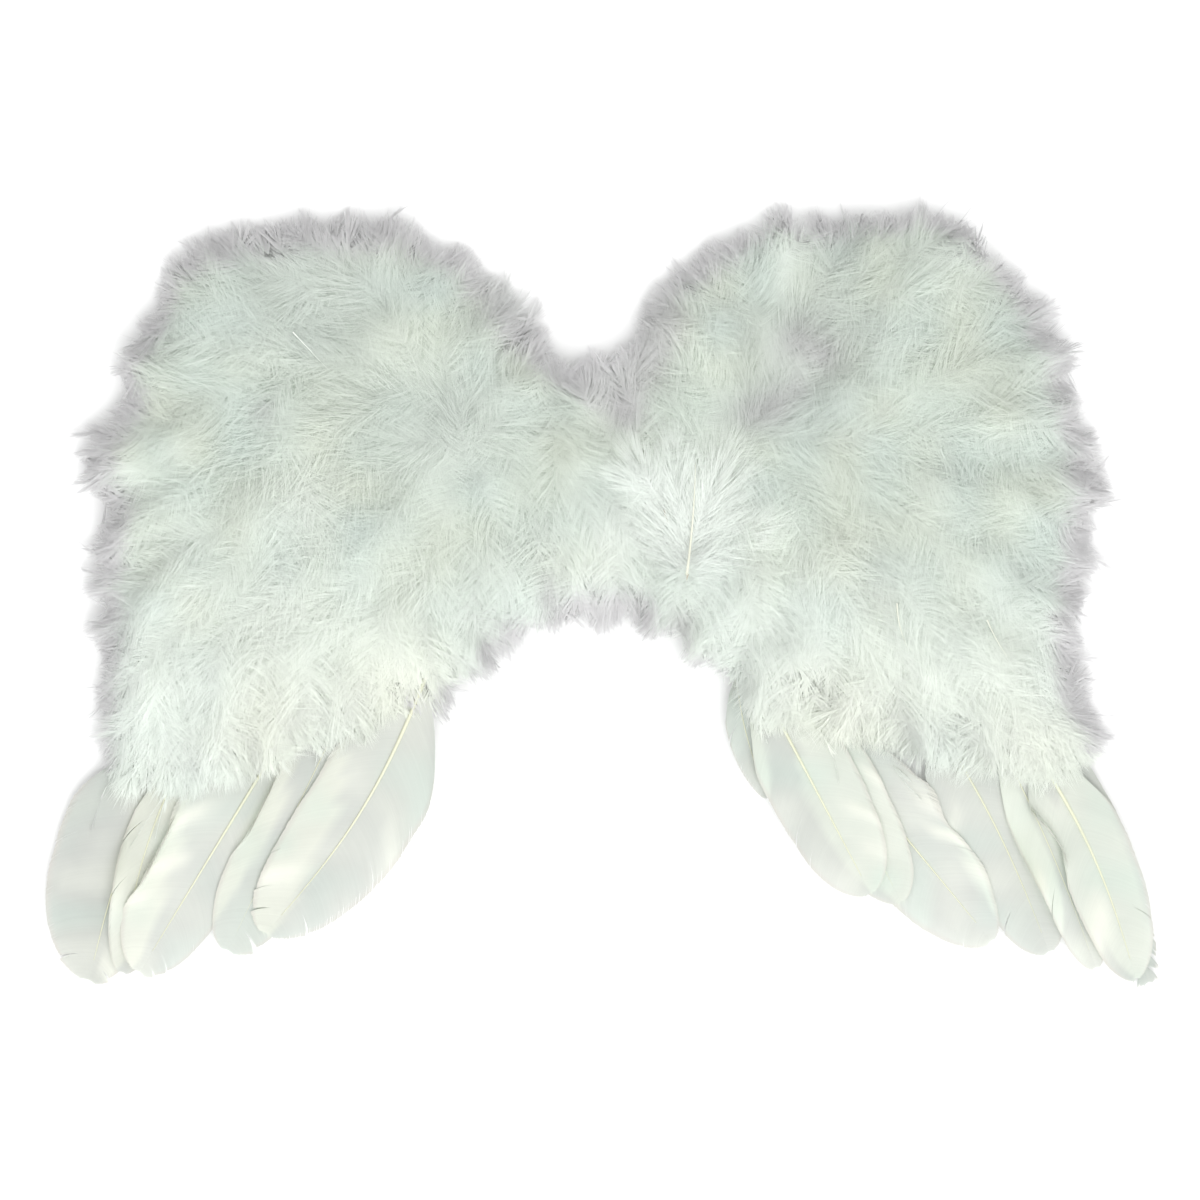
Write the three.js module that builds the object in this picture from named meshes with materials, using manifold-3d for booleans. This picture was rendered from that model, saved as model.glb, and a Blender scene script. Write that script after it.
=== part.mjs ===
// Feathered costume wings for a child, lying on their back with the feather side up.
// Units are millimetres. +X runs to the right-hand wing, +Y to the shoulder edge, and +Z out of the
// feather side.
// The origin is the centre of the back pad's underside, between the wearer's shoulder blades.

import * as THREE from "three";
import { mergeVertices } from "three/addons/utils/BufferGeometryUtils.js";
import Module from "manifold-3d";

const wasm = await Module();
wasm.setup();

// Gap between two pieces that touch.
const clearance = 0.3;

// Back pad, which joins the two felt backings.
const padWidth = 60;
const padHeight = 76;
const padCorner = 12;
const padThickness = 2.5;

// Shoulder straps, laid flat as open loops.
const strapWidth = 10;
const strapThickness = 1.5;
const strapLoopRadius = 58;
const strapEndSpacing = 44;

// Felt backings that carry the feathers. Each stays inside its wing's down by the inset.
const backingThickness = 2;
const backingInset = 22;
const backingGap = 4;

// Down on the left wing, on the right wing and over the join.
const leftWidth = 206;
const leftHeight = 254;
const leftTop = 120;
const rightWidth = 200;
const rightHeight = 254;
const rightTop = 124;
const leftSeam = 21;
const rightSeam = 20;
const downDepth = 30;
const centreHeight = 116;
const centreTop = 59;
const centreDepth = 29;

// Locks of down: a plume's outer form, fused to the body under it. The spreads are shares by which
// the locks' places and lengths vary, and the twist is how far they turn from their row, in degrees.
const lockLength = 50;
const lockWidth = 27;
const lockDepth = 12;
const lockScatter = 0.5;
const lockLengthSpread = 0.3;
const lockTwist = 28;

// The plume whose shaft shows.
const plumeLength = 74;
const plumeWidth = 46;
const plumeDepth = 6;
const plumeX = 42;
const plumeY = -4;
const plumeHeight = 36;
const plumeShaftWidth = 1.6;
const plumeShaftLift = 0.45;
const plumeTilt = 8;

// Goose quills. The shaft grows narrower and lower to the tip by the two shares, and the quills
// start to droop at a height above the backing's lower edge.
const quillLength = 128;
const quillWidth = 45;
const vaneThickness = 0.7;
const vaneCamber = 0.3;
const vaneEdge = 0.1;
const shaftWidth = 2.4;
const shaftHeight = 0.5;
const shaftNarrowing = 0.7;
const shaftLowering = 0.6;
const tipHeight = 1.2;
const droopHeight = 17;

// Heights that follow from the sizes above.
const backingUnderside = padThickness + clearance;
const backingFace = backingUnderside + backingThickness;
const downFloor = backingFace + clearance;
const quillPitch = vaneThickness + vaneCamber + shaftHeight + clearance;

// How finely curves are cut into facets.
const OUTLINE_STEPS = 38;
const STRAP_STEPS = 28;
const CORNER_STEPS = 5;
const BACKING_STEPS = 3;
const LOCK_SIDES = 5;
const PLUME_SIDES = 10;

// Even scatter: multiples of it leave remainders that spread evenly from 0 to 1.
const GOLDEN = 0.618034;

// Backing outline: across runs from the centre line to the reach, along from the bottom to the top.
const backingOutline = [
  { across: 0.15, along: 0.66 },
  { across: 0.32, along: 0.85 },
  { across: 0.5, along: 0.96 },
  { across: 0.7, along: 1.0 },
  { across: 0.86, along: 0.91 },
  { across: 0.96, along: 0.75 },
  { across: 1.0, along: 0.53 },
  { across: 0.98, along: 0.3 },
  { across: 1.0, along: 0.09 },
  { across: 0.88, along: 0.0 },
  { across: 0.62, along: 0.08 },
  { across: 0.38, along: 0.18 },
  { across: 0.22, along: 0.28 },
  { across: 0.15, along: 0.34 },
];

// Outlines of the down: across runs from the seam to the rim, along from the bottom to the top.
const leftOutline = [
  { across: -0.25, along: 0.68 },
  { across: 0.03, along: 0.77 },
  { across: 0.18, along: 0.92 },
  { across: 0.4, along: 1.0 },
  { across: 0.62, along: 0.99 },
  { across: 0.81, along: 0.93 },
  { across: 0.89, along: 0.78 },
  { across: 0.93, along: 0.7 },
  { across: 1.0, along: 0.63 },
  { across: 1.0, along: 0.56 },
  { across: 0.96, along: 0.5 },
  { across: 1.0, along: 0.37 },
  { across: 0.97, along: 0.26 },
  { across: 0.98, along: 0.15 },
  { across: 0.98, along: 0.03 },
  { across: 0.86, along: 0.0 },
  { across: 0.64, along: 0.06 },
  { across: 0.47, along: 0.12 },
  { across: 0.27, along: 0.14 },
  { across: 0.2, along: 0.2 },
  { across: 0.04, along: 0.3 },
  { across: -0.25, along: 0.34 },
];
const rightOutline = [
  { across: -0.25, along: 0.64 },
  { across: -0.02, along: 0.75 },
  { across: 0.01, along: 0.84 },
  { across: 0.11, along: 0.91 },
  { across: 0.3, along: 0.99 },
  { across: 0.48, along: 0.99 },
  { across: 0.66, along: 1.0 },
  { across: 0.76, along: 0.95 },
  { across: 0.9, along: 0.82 },
  { across: 0.92, along: 0.74 },
  { across: 0.96, along: 0.65 },
  { across: 1.0, along: 0.49 },
  { across: 0.96, along: 0.32 },
  { across: 0.94, along: 0.25 },
  { across: 0.98, along: 0.15 },
  { across: 0.99, along: 0.02 },
  { across: 0.9, along: 0.0 },
  { across: 0.67, along: 0.06 },
  { across: 0.33, along: 0.12 },
  { across: 0.23, along: 0.14 },
  { across: 0.09, along: 0.25 },
  { across: -0.25, along: 0.34 },
];
const centreOutline = [
  { across: -0.5, along: 1.02 },
  { across: 0.2, along: 0.95 },
  { across: 0.5, along: 0.96 },
  { across: 0.85, along: 1.04 },
  { across: 1.5, along: 1.15 },
  { across: 1.5, along: 0.06 },
  { across: 0.9, along: 0.02 },
  { across: 0.5, along: 0.0 },
  { across: 0.1, along: 0.02 },
  { across: -0.5, along: 0.06 },
];

// Rounding of a body of down, from its underside to its crown: out from the middle, and up from the floor.
const downRings = [
  { out: 0.95, up: 0.0 },
  { out: 1.0, up: 0.2 },
  { out: 0.95, up: 0.46 },
  { out: 0.82, up: 0.7 },
  { out: 0.6, up: 0.89 },
  { out: 0.32, up: 0.98 },
];

// Hollows in the down where it parts. wide is a share of the wing's width, and dip of its depth.
const leftHollows = [
  { across: 0.5, along: 0.79, wide: 0.1, dip: 0.16 },
  { across: 0.6, along: 0.63, wide: 0.12, dip: 0.2 },
  { across: 0.5, along: 0.46, wide: 0.1, dip: 0.16 },
];
const rightHollows = [
  { across: 0.3, along: 0.78, wide: 0.17, dip: 0.34 },
  { across: 0.25, along: 0.65, wide: 0.1, dip: 0.26 },
];

// Rows of locks on a wing, from the rim inwards. start and up place the root, fall turns the lock
// towards the wing tip, and the rest are shares of the named lock sizes.
const wingLocks = [
  { start: 0.85, up: 0.3, count: 36, fall: 0.0, long: 0.5, wide: 0.72, deep: 0.85, rise: 0.0 },
  { start: 0.66, up: 0.6, count: 18, fall: 0.35, long: 0.9, wide: 1.0, deep: 1.0, rise: 0.3 },
  { start: 0.42, up: 0.8, count: 12, fall: 0.6, long: 1.0, wide: 1.1, deep: 1.0, rise: 0.3 },
  { start: 0.15, up: 0.9, count: 5, fall: 0.9, long: 1.0, wide: 1.15, deep: 1.0, rise: 0.3 },
];
const centreLocks = [
  { start: 0.78, up: 0.3, count: 18, fall: 0.0, long: 0.4, wide: 0.55, deep: 0.7, rise: 0.0 },
  { start: 0.5, up: 0.8, count: 9, fall: 0.3, long: 0.5, wide: 0.7, deep: 0.8, rise: 0.3 },
  { start: 0.1, up: 0.9, count: 3, fall: 0.6, long: 0.6, wide: 0.8, deep: 0.8, rise: 0.3 },
];

// A lock's sections from root to tip, as shares of its length, width and depth.
const lockSections = [
  { at: 0.0, wide: 0.5, deep: 0.6 },
  { at: 0.3, wide: 1.0, deep: 1.0 },
  { at: 0.68, wide: 0.72, deep: 0.7 },
];

// A plume's sections from root to tip, as shares of its length, width and depth.
const plumeSections = [
  { at: 0.03, wide: 0.2, deep: 0.4 },
  { at: 0.15, wide: 0.62, deep: 0.8 },
  { at: 0.35, wide: 0.93, deep: 1.0 },
  { at: 0.6, wide: 1.0, deep: 1.0 },
  { at: 0.82, wide: 0.72, deep: 0.8 },
  { at: 0.95, wide: 0.34, deep: 0.5 },
];

// The plume's bare shaft from its root, as shares of the plume's length and the shaft's width.
const plumeShaftSections = [
  { at: 0.02, wide: 1.0 },
  { at: 0.2, wide: 0.9 },
  { at: 0.4, wide: 0.7 },
  { at: 0.6, wide: 0.4 },
];

// A quill's sections from root to tip: half widths as shares of the vane's two sides.
const quillSections = [
  { at: 0.0, wide: 0.0 },
  { at: 0.06, wide: 0.04 },
  { at: 0.11, wide: 0.4 },
  { at: 0.22, wide: 0.74 },
  { at: 0.45, wide: 0.98 },
  { at: 0.68, wide: 1.0 },
  { at: 0.86, wide: 0.84 },
  { at: 0.97, wide: 0.44 },
];

// Quills of each wing. across and along place the root on the wing's down. turn is the angle from
// straight down, outwards, in degrees. outer is the outer vane's share of the width, bow a sideways
// bend as a share of the length, and level the place in the stack.
const leftQuills = [
  { across: 0.81, along: 0.11, turn: 20, long: 0.97, wide: 1.05, outer: 0.55, bow: 0.04, level: 0 },
  { across: 0.79, along: 0.08, turn: 17, long: 0.84, wide: 0.62, outer: 0.42, bow: 0.05, level: 1 },
  { across: 0.53, along: 0.16, turn: 32, long: 1.13, wide: 0.97, outer: 0.58, bow: 0.0, level: 2 },
  { across: 0.45, along: 0.155, turn: 26, long: 0.95, wide: 0.8, outer: 0.48, bow: 0.0, level: 3 },
  { across: 0.27, along: 0.21, turn: 32, long: 1.08, wide: 0.96, outer: 0.58, bow: -0.08, level: 4 },
];
const rightQuills = [
  { across: 0.2, along: 0.19, turn: 15, long: 0.46, wide: 0.36, outer: 0.5, bow: -0.04, level: 1 },
  { across: 0.24, along: 0.195, turn: 28, long: 0.9, wide: 0.95, outer: 0.47, bow: 0.0, level: 2 },
  { across: 0.33, along: 0.155, turn: 27, long: 0.84, wide: 0.83, outer: 0.44, bow: 0.0, level: 3 },
  { across: 0.335, along: 0.14, turn: 39, long: 1.08, wide: 0.92, outer: 0.5, bow: 0.0, level: 1 },
  { across: 0.645, along: 0.115, turn: 27, long: 0.94, wide: 0.86, outer: 0.48, bow: 0.03, level: 0 },
  { across: 0.79, along: 0.08, turn: 24, long: 0.9, wide: 0.6, outer: 0.5, bow: 0.02, level: 1 },
  { across: 0.86, along: 0.08, turn: 24, long: 0.96, wide: 0.76, outer: 0.52, bow: 0.045, level: 2 },
  { across: 0.935, along: 0.095, turn: 20, long: 0.94, wide: 0.67, outer: 0.47, bow: 0.0, level: 0 },
];

// Materials.
function finish(colour, roughness) {
  return new THREE.MeshStandardMaterial({ color: colour, roughness, metalness: 0 });
}
const downFinish = finish(0xd9e5de, 0.95);
const quillFinish = finish(0xe6e9df, 0.6);
const feltFinish = finish(0xeeeeea, 0.95);
const elasticFinish = finish(0xf2f2ee, 0.85);

// A closed surface through rings of equal count, fanned to a point at each end.
function skin(rings, first, last) {
  const count = rings[0].length;
  const points = [first, ...rings.flat(), last];
  const faces = [];
  const at = (ring, i) => 1 + ring * count + (i % count);
  for (let i = 0; i < count; i++) {
    faces.push(0, at(0, i + 1), at(0, i));
    for (let r = 0; r + 1 < rings.length; r++) {
      faces.push(at(r, i), at(r, i + 1), at(r + 1, i + 1));
      faces.push(at(r, i), at(r + 1, i + 1), at(r + 1, i));
    }
    faces.push(points.length - 1, at(rings.length - 1, i), at(rings.length - 1, i + 1));
  }
  return new THREE.BufferGeometry().setFromPoints(points).setIndex(faces);
}

// A geometry as a manifold-3d solid, turned right side out.
function solidOf(geometry) {
  const bare = geometry.clone();
  bare.deleteAttribute("normal");
  bare.deleteAttribute("uv");
  const merged = mergeVertices(bare, 1e-4);
  const vertProperties = merged.attributes.position.array;
  const triVerts = new Uint32Array(merged.index.array);
  const made = new wasm.Manifold(new wasm.Mesh({ numProp: 3, vertProperties, triVerts }));
  if (made.volume() > 0) return made;
  triVerts.reverse();
  return new wasm.Manifold(new wasm.Mesh({ numProp: 3, vertProperties, triVerts }));
}

// A manifold-3d solid as a geometry.
function geometryOf(solid) {
  const mesh = solid.getMesh();
  return new THREE.BufferGeometry()
    .setAttribute("position", new THREE.BufferAttribute(new Float32Array(mesh.vertProperties), 3))
    .setIndex(new THREE.BufferAttribute(new Uint32Array(mesh.triVerts), 1));
}

// The largest body of a solid, without the crumbs that a cut leaves.
function mainBody(solid) {
  return solid.decompose().reduce((a, b) => (b.volume() > a.volume() ? b : a));
}

// A scattered value from -0.5 to 0.5 for the i-th copy.
function scatter(i) {
  return ((i * GOLDEN) % 1) - 0.5;
}

// A unit vector in plan, turned by an angle in degrees from +Y towards +X, with the one across it.
function headingAt(degrees) {
  const angle = THREE.MathUtils.degToRad(degrees);
  return {
    heading: new THREE.Vector3(Math.sin(angle), Math.cos(angle), 0),
    across: new THREE.Vector3(Math.cos(angle), -Math.sin(angle), 0),
  };
}

const UP = new THREE.Vector3(0, 0, 1);

function piece(name, geometry, material) {
  const mesh = new THREE.Mesh(geometry, material);
  mesh.name = name;
  return mesh;
}

function backPad() {
  const x = padWidth / 2;
  const y = padHeight / 2;
  const shape = new THREE.Shape();
  shape.absarc(x - padCorner, y - padCorner, padCorner, 0, Math.PI / 2);
  shape.absarc(padCorner - x, y - padCorner, padCorner, Math.PI / 2, Math.PI);
  shape.absarc(padCorner - x, padCorner - y, padCorner, Math.PI, 1.5 * Math.PI);
  shape.absarc(x - padCorner, padCorner - y, padCorner, 1.5 * Math.PI, 2 * Math.PI);
  const made = new THREE.ExtrudeGeometry(shape, {
    depth: padThickness,
    bevelEnabled: false,
    curveSegments: CORNER_STEPS,
  });
  return piece("back_pad", made, feltFinish);
}

// A strap's loop: most of a circle that lies beside the pad, open where its two ends meet the pad.
function shoulderStrap(name, side) {
  const halfGap = Math.asin(strapEndSpacing / 2 / strapLoopRadius);
  const outerRadius = strapLoopRadius + strapWidth / 2;
  const innerRadius = strapLoopRadius - strapWidth / 2;
  const centreX = padWidth / 2 + clearance + outerRadius * Math.cos(halfGap);
  const sweep = 2 * (Math.PI - halfGap);
  const rim = (radius, from, step) =>
    Array.from({ length: STRAP_STEPS + 1 }, (_, i) => {
      const angle = from + (step * sweep * i) / STRAP_STEPS;
      return new THREE.Vector2(
        side * (centreX + radius * Math.cos(angle)),
        radius * Math.sin(angle),
      );
    });
  const start = halfGap - Math.PI;
  const shape = new THREE.Shape([
    ...rim(outerRadius, start, 1),
    ...rim(innerRadius, start + sweep, -1),
  ]);
  const made = new THREE.ExtrudeGeometry(shape, { depth: strapThickness, bevelEnabled: false });
  return piece(name, made, elasticFinish);
}

// The height of a felt backing's lower edge on the wing.
function backingBottom(frame) {
  return frame.top - frame.height + backingInset;
}

// A wing's felt backing, with a neck that reaches over the pad.
function feltBacking(name, frame) {
  const { side } = frame;
  const neck = backingGap / 2;
  const reach = frame.seam + frame.width - backingInset;
  const tall = frame.height - 2 * backingInset;
  const place = (row) =>
    new THREE.Vector2(side * row.across * reach, backingBottom(frame) + row.along * tall);
  const first = place(backingOutline[0]);
  const last = place(backingOutline[backingOutline.length - 1]);
  const shape = new THREE.Shape();
  shape.moveTo(side * neck, first.y);
  shape.lineTo(first.x, first.y);
  shape.splineThru(backingOutline.slice(1).map(place));
  shape.lineTo(side * neck, last.y);
  const made = new THREE.ExtrudeGeometry(shape, {
    depth: backingThickness,
    bevelEnabled: false,
    curveSegments: BACKING_STEPS,
  });
  return piece(name, made.translate(0, 0, backingUnderside), feltFinish);
}

// The frame of a body of down: its outline as a closed curve, its middle and its depth.
function downFrame({ outline, side, seam, width, height, top, depth, middle, hollows }) {
  const place = (row) =>
    new THREE.Vector3(side * (seam + row.across * width), top - height + row.along * height, 0);
  const curve = new THREE.CatmullRomCurve3(outline.map(place), true, "centripetal");
  const dips = hollows.map((row) => ({ spot: place(row), radius: row.wide * width, dip: row.dip }));
  return { curve, middle: place(middle), dips, depth, side, seam, width, height, top };
}
const leftFrame = downFrame({
  outline: leftOutline,
  side: -1,
  seam: leftSeam,
  width: leftWidth,
  height: leftHeight,
  top: leftTop,
  depth: downDepth,
  middle: { across: 0.52, along: 0.5 },
  hollows: leftHollows,
});
const rightFrame = downFrame({
  outline: rightOutline,
  side: 1,
  seam: rightSeam,
  width: rightWidth,
  height: rightHeight,
  top: rightTop,
  depth: downDepth,
  middle: { across: 0.5, along: 0.5 },
  hollows: rightHollows,
});
const centreFrame = downFrame({
  outline: centreOutline,
  side: 1,
  seam: -leftSeam,
  width: leftSeam + rightSeam,
  height: centreHeight,
  top: centreTop,
  depth: centreDepth,
  middle: { across: 0.5, along: 0.5 },
  hollows: [],
});

// A point of a body of down, at a share of the way out to its outline and up to its crown.
function onDown(frame, around, out, up) {
  const rim = frame.curve.getPointAt(((around % 1) + 1) % 1);
  const point = frame.middle.clone().lerp(rim, out);
  const share = ({ spot, radius, dip }) => dip * Math.exp(-((spot.distanceTo(point) / radius) ** 2));
  const dip = frame.dips.reduce((sum, row) => sum + share(row), 0);
  point.z = downFloor + up * frame.depth * (1 - dip);
  return point;
}

function downBody(frame) {
  const rings = downRings.map(({ out, up }) =>
    Array.from({ length: OUTLINE_STEPS }, (_, i) => onDown(frame, i / OUTLINE_STEPS, out, up)),
  );
  return solidOf(skin(rings, onDown(frame, 0, 0, 0), onDown(frame, 0, 0, 1)));
}

// An oval ring of points round a spot, wide along one direction and deep along +Z.
function oval(spot, across, wide, deep, sides) {
  return Array.from({ length: sides }, (_, i) => {
    const angle = (2 * Math.PI * i) / sides;
    return spot
      .clone()
      .addScaledVector(across, (wide / 2) * Math.cos(angle))
      .addScaledVector(UP, (deep / 2) * Math.sin(angle));
  });
}

// One lock: flat oval sections along a line that rises off the body and falls to its tip.
function lock(root, heading, long, wide, deep, rise) {
  const across = new THREE.Vector3(-heading.y, heading.x, 0);
  const line = (share) =>
    root
      .clone()
      .addScaledVector(heading, long * share)
      .addScaledVector(UP, deep * rise * Math.sin(Math.PI * share));
  const rings = lockSections.map((section) =>
    oval(line(section.at), across, wide * section.wide, deep * section.deep, LOCK_SIDES),
  );
  return solidOf(skin(rings, line(0), line(1)));
}

// A row of locks round a body of down, each pointing out and, by the row's fall, to the wing tip.
function lockRow(frame, row) {
  const twist = THREE.MathUtils.degToRad(lockTwist);
  return Array.from({ length: row.count }, (_, i) => {
    const around = (i + lockScatter * scatter(i + row.count)) / row.count;
    const root = onDown(frame, around, row.start, row.up);
    const heading = root.clone().sub(frame.middle).setZ(0).normalize();
    heading.setY(heading.y - row.fall).normalize();
    heading.applyAxisAngle(UP, twist * scatter(3 * i));
    const long = lockLength * row.long * (1 + lockLengthSpread * scatter(7 * i));
    return lock(root, heading, long, lockWidth * row.wide, lockDepth * row.deep, row.rise);
  });
}

// The spine of a quill in plan, with the direction across it.
function quillLine(frame, quill) {
  const root = new THREE.Vector3(
    frame.side * (frame.seam + quill.across * frame.width),
    frame.top - frame.height + quill.along * frame.height,
    0,
  );
  const straightDown = 180;
  const { heading, across } = headingAt(straightDown - frame.side * quill.turn);
  const outwards = across.multiplyScalar(-frame.side);
  const long = quillLength * quill.long;
  return (share) => ({
    point: root
      .clone()
      .addScaledVector(heading, long * share)
      .addScaledVector(outwards, quill.bow * long * Math.sin(Math.PI * share)),
    outwards,
  });
}

// Quills lie on the backing and droop past its lower edge until their tips almost reach the ground.
function quillSurface(frame, y, level) {
  const past = Math.max(0, backingBottom(frame) + droopHeight - y) / quillLength;
  return downFloor + level * quillPitch - (downFloor - tipHeight) * Math.min(1, past * past);
}

// One quill: a thin cambered vane with its shaft raised along the middle. With a slot's margin
// the same form reaches down to the slot's foot, and is what the down over it is cut with.
function quillSolid(frame, quill, margin = 0, foot = null) {
  const line = quillLine(frame, quill);
  const wide = quillWidth * quill.wide;
  const rings = quillSections.map((section) => {
    const { point, outwards } = line(section.at);
    const least = shaftWidth / 2 + vaneEdge;
    const outer = Math.max(wide * quill.outer * section.wide, least) + margin;
    const inner = Math.max(wide * (1 - quill.outer) * section.wide, least) + margin;
    const taper = (shaftWidth / 2) * (1 - shaftNarrowing * section.at) + margin / 2;
    const ridge = shaftHeight * (1 - shaftLowering * section.at);
    const spot = (offset, lift) => {
      const made = point.clone().addScaledVector(outwards, offset);
      made.z = quillSurface(frame, made.y, quill.level) + lift;
      return made;
    };
    const top = vaneThickness + margin;
    const under = (offset, lift) => {
      const made = spot(offset, lift - margin);
      if (foot !== null) made.z = foot;
      return made;
    };
    return [
      spot(outer, top),
      spot(taper, top + vaneCamber),
      spot(0, top + vaneCamber + ridge),
      spot(-taper, top + vaneCamber),
      spot(-inner, top),
      under(-inner, 0),
      under(0, vaneCamber),
      under(outer, 0),
    ];
  });
  const end = (share) => {
    const { point } = line(share);
    point.z = quillSurface(frame, point.y, quill.level) + vaneThickness / 2;
    return point;
  };
  return solidOf(skin(rings, end(-margin / quillLength), end(1 + margin / quillLength)));
}

// The plume whose shaft shows: a soft oval leaf with the bare shaft raised on it.
function shaftPlume(margin = 0) {
  const { heading, across } = headingAt(plumeTilt);
  const line = (share) =>
    new THREE.Vector3(plumeX, plumeY, plumeHeight)
      .addScaledVector(heading, plumeLength * (share - 0.5))
      .addScaledVector(UP, -plumeDepth * (2 * share - 1) ** 2);
  const rings = plumeSections.map((section) => {
    const wide = plumeWidth * section.wide + 2 * margin;
    const deep = plumeDepth * section.deep + 2 * margin;
    return oval(line(section.at), across, wide, deep, PLUME_SIDES);
  });
  const leaf = solidOf(skin(rings, line(-margin / plumeLength), line(1 + margin / plumeLength)));
  const raised = (share) => line(share).addScaledVector(UP, plumeDepth * plumeShaftLift);
  const shaft = plumeShaftSections.map(({ at, wide }) => {
    const half = (plumeShaftWidth / 2) * wide + margin;
    return [-1, 1, 1, -1].map((x, k) =>
      raised(at)
        .addScaledVector(across, x * half)
        .addScaledVector(UP, k < 2 ? -half : half),
    );
  });
  const reach = margin / plumeLength;
  const first = raised(plumeShaftSections[0].at - reach);
  const last = raised(plumeShaftSections[plumeShaftSections.length - 1].at + reach);
  return leaf.add(solidOf(skin(shaft, first, last)));
}

// The block that a body of down is trimmed to: between two values of X, and above the backing.
function trimBlock(from, to) {
  const tall = 2 * (downDepth + centreDepth + lockDepth);
  const long = 2 * (leftHeight + rightHeight);
  const block = new THREE.BoxGeometry(to - from, long, tall);
  return solidOf(block.translate((from + to) / 2, 0, downFloor + tall / 2));
}

// A body of down with its locks, trimmed at its seams, with room for the quills and the plume.
function downPiece(name, frame, rows, from, to, quills) {
  const locks = rows.flatMap((row) => lockRow(frame, row));
  let made = wasm.Manifold.union([downBody(frame), ...locks]);
  made = made.intersect(trimBlock(from, to));
  for (const quill of quills) made = made.subtract(quillSolid(frame, quill, clearance, 0));
  made = made.subtract(shaftPlume(clearance));
  return piece(name, geometryOf(mainBody(made)), downFinish);
}

function quillPieces(word, frame, quills) {
  return quills.map((quill, i) =>
    piece(`quill_${word}_${i + 1}`, geometryOf(quillSolid(frame, quill)), quillFinish),
  );
}

const farLeft = -2 * (leftSeam + leftWidth);
const farRight = 2 * (rightSeam + rightWidth);
const halfGap = clearance / 2;

const wings = new THREE.Group();
wings.add(
  backPad(),
  shoulderStrap("shoulder_strap_left", -1),
  shoulderStrap("shoulder_strap_right", 1),
  feltBacking("felt_backing_left", leftFrame),
  feltBacking("felt_backing_right", rightFrame),
  downPiece("down_left", leftFrame, wingLocks, farLeft, -leftSeam - halfGap, leftQuills),
  downPiece("down_right", rightFrame, wingLocks, rightSeam + halfGap, farRight, rightQuills),
  downPiece("down_centre", centreFrame, centreLocks, halfGap - leftSeam, rightSeam - halfGap, []),
  piece("shaft_plume", geometryOf(shaftPlume()), downFinish),
  ...quillPieces("left", leftFrame, leftQuills),
  ...quillPieces("right", rightFrame, rightQuills),
);

export default wings;
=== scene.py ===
"""Feathered costume wings, lying on their back: deep white down, goose quills, felt and elastic."""

import math
from dataclasses import dataclass

import bpy
import numpy as np
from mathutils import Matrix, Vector
from mathutils.bvhtree import BVHTree


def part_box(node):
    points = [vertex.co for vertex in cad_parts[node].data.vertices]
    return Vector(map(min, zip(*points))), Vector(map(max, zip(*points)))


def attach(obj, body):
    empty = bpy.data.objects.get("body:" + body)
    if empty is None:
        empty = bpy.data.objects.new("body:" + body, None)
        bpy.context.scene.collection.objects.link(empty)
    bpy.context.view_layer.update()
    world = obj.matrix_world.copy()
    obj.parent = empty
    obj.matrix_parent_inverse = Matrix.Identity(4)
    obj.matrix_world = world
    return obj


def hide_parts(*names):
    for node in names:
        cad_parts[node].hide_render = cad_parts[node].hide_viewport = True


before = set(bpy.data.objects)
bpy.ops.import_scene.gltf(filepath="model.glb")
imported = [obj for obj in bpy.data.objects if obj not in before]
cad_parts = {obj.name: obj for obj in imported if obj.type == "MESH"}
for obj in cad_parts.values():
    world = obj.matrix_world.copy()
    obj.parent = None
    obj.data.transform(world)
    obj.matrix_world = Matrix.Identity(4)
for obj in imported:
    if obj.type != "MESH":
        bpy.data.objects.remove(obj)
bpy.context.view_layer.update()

MM = 0.001
SEED = 11

# The photograph's frame: the width that it covers, and the point of the part at its centre.
FRAME_WIDTH = 540.5 * MM
FRAME_CENTRE = (0.0, -49.6 * MM)
CAMERA_HEIGHT = 2.4
CAMERA_FOCUS = 10 * MM
SENSOR = 36.0
FLOOR = -0.3 * MM

# Grid on which heights and distances from the rim of the down are kept.
CELL = 2.0 * MM
FIELD_LOW = (-261.5 * MM, -166 * MM)
FIELD_HIGH = (262.5 * MM, 166 * MM)
GROUND_HEIGHT = 5 * MM
RAY_START = 0.1
QUILL_ROOM = 4.5 * MM

# Plumes of down and their barbs.
PLUME_SPACING = 12.5 * MM
PLUME_LENGTH = 50 * MM
PLUME_BARBS = 236
BARB_LENGTH = 21 * MM
SPLIT_Y = 8 * MM
BARB_WIDTH = 0.15 * MM
WISP = 6
GOLDEN = 2.39996
DRAW = (0.0, 0.44)
TUFTED_DRAW = (0.6, 0.92)
LOOSE_DRAW = (0.5, 0.92)
SOFT_DRAW = (0.0, 0.4)
FRINGE_SPACING = 6.5 * MM
FRINGE_BARBS = 60
COVER_SPACING = 10 * MM
COVER_BARBS = 110
LOOSE_BARBS = 70
CALAMUS_BARBS = 500
BRIGHT_BARBS = 800
LOOSE_THICK = 1.5
FRINGE_THICK = 2.2
UNDER_THICK = 2.1
BRIGHT_THICK = 0.9
ROOT_DEPTH = 7 * MM
SHAFT_DEPTH = 4 * MM
RIM_REACH = 1.2 * MM
TUFT_REACH = 7 * MM
RIBBON_POINTS = 7
UNDER_SPACING = 10 * MM
UNDER_BARBS = 44
UNDER_LEVEL = 4.2 * MM
UNDER_STEPS = (0.9 * MM, -1.2 * MM, 1.2 * MM)
SOFT_DEPTH = 3.5 * MM
UNDER_SCATTER = 0.8 * MM
LOWEST = 0.8 * MM
SOFT_LEAN = 0.8
BODY_DEPTH = 5.5 * MM
BODY_VOXEL = 4 * MM
BODY_PULL = 11 * MM
BODY_PULL_DEPTH = 26 * MM
BODY_SMOOTHING = 6
# Painted shade: the share of the down's tone that the body under the barbs takes, as if in shade.
BODY_PAINTED_SHADE = 0.9
SEAM_OVERLAP = 5 * MM

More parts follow.
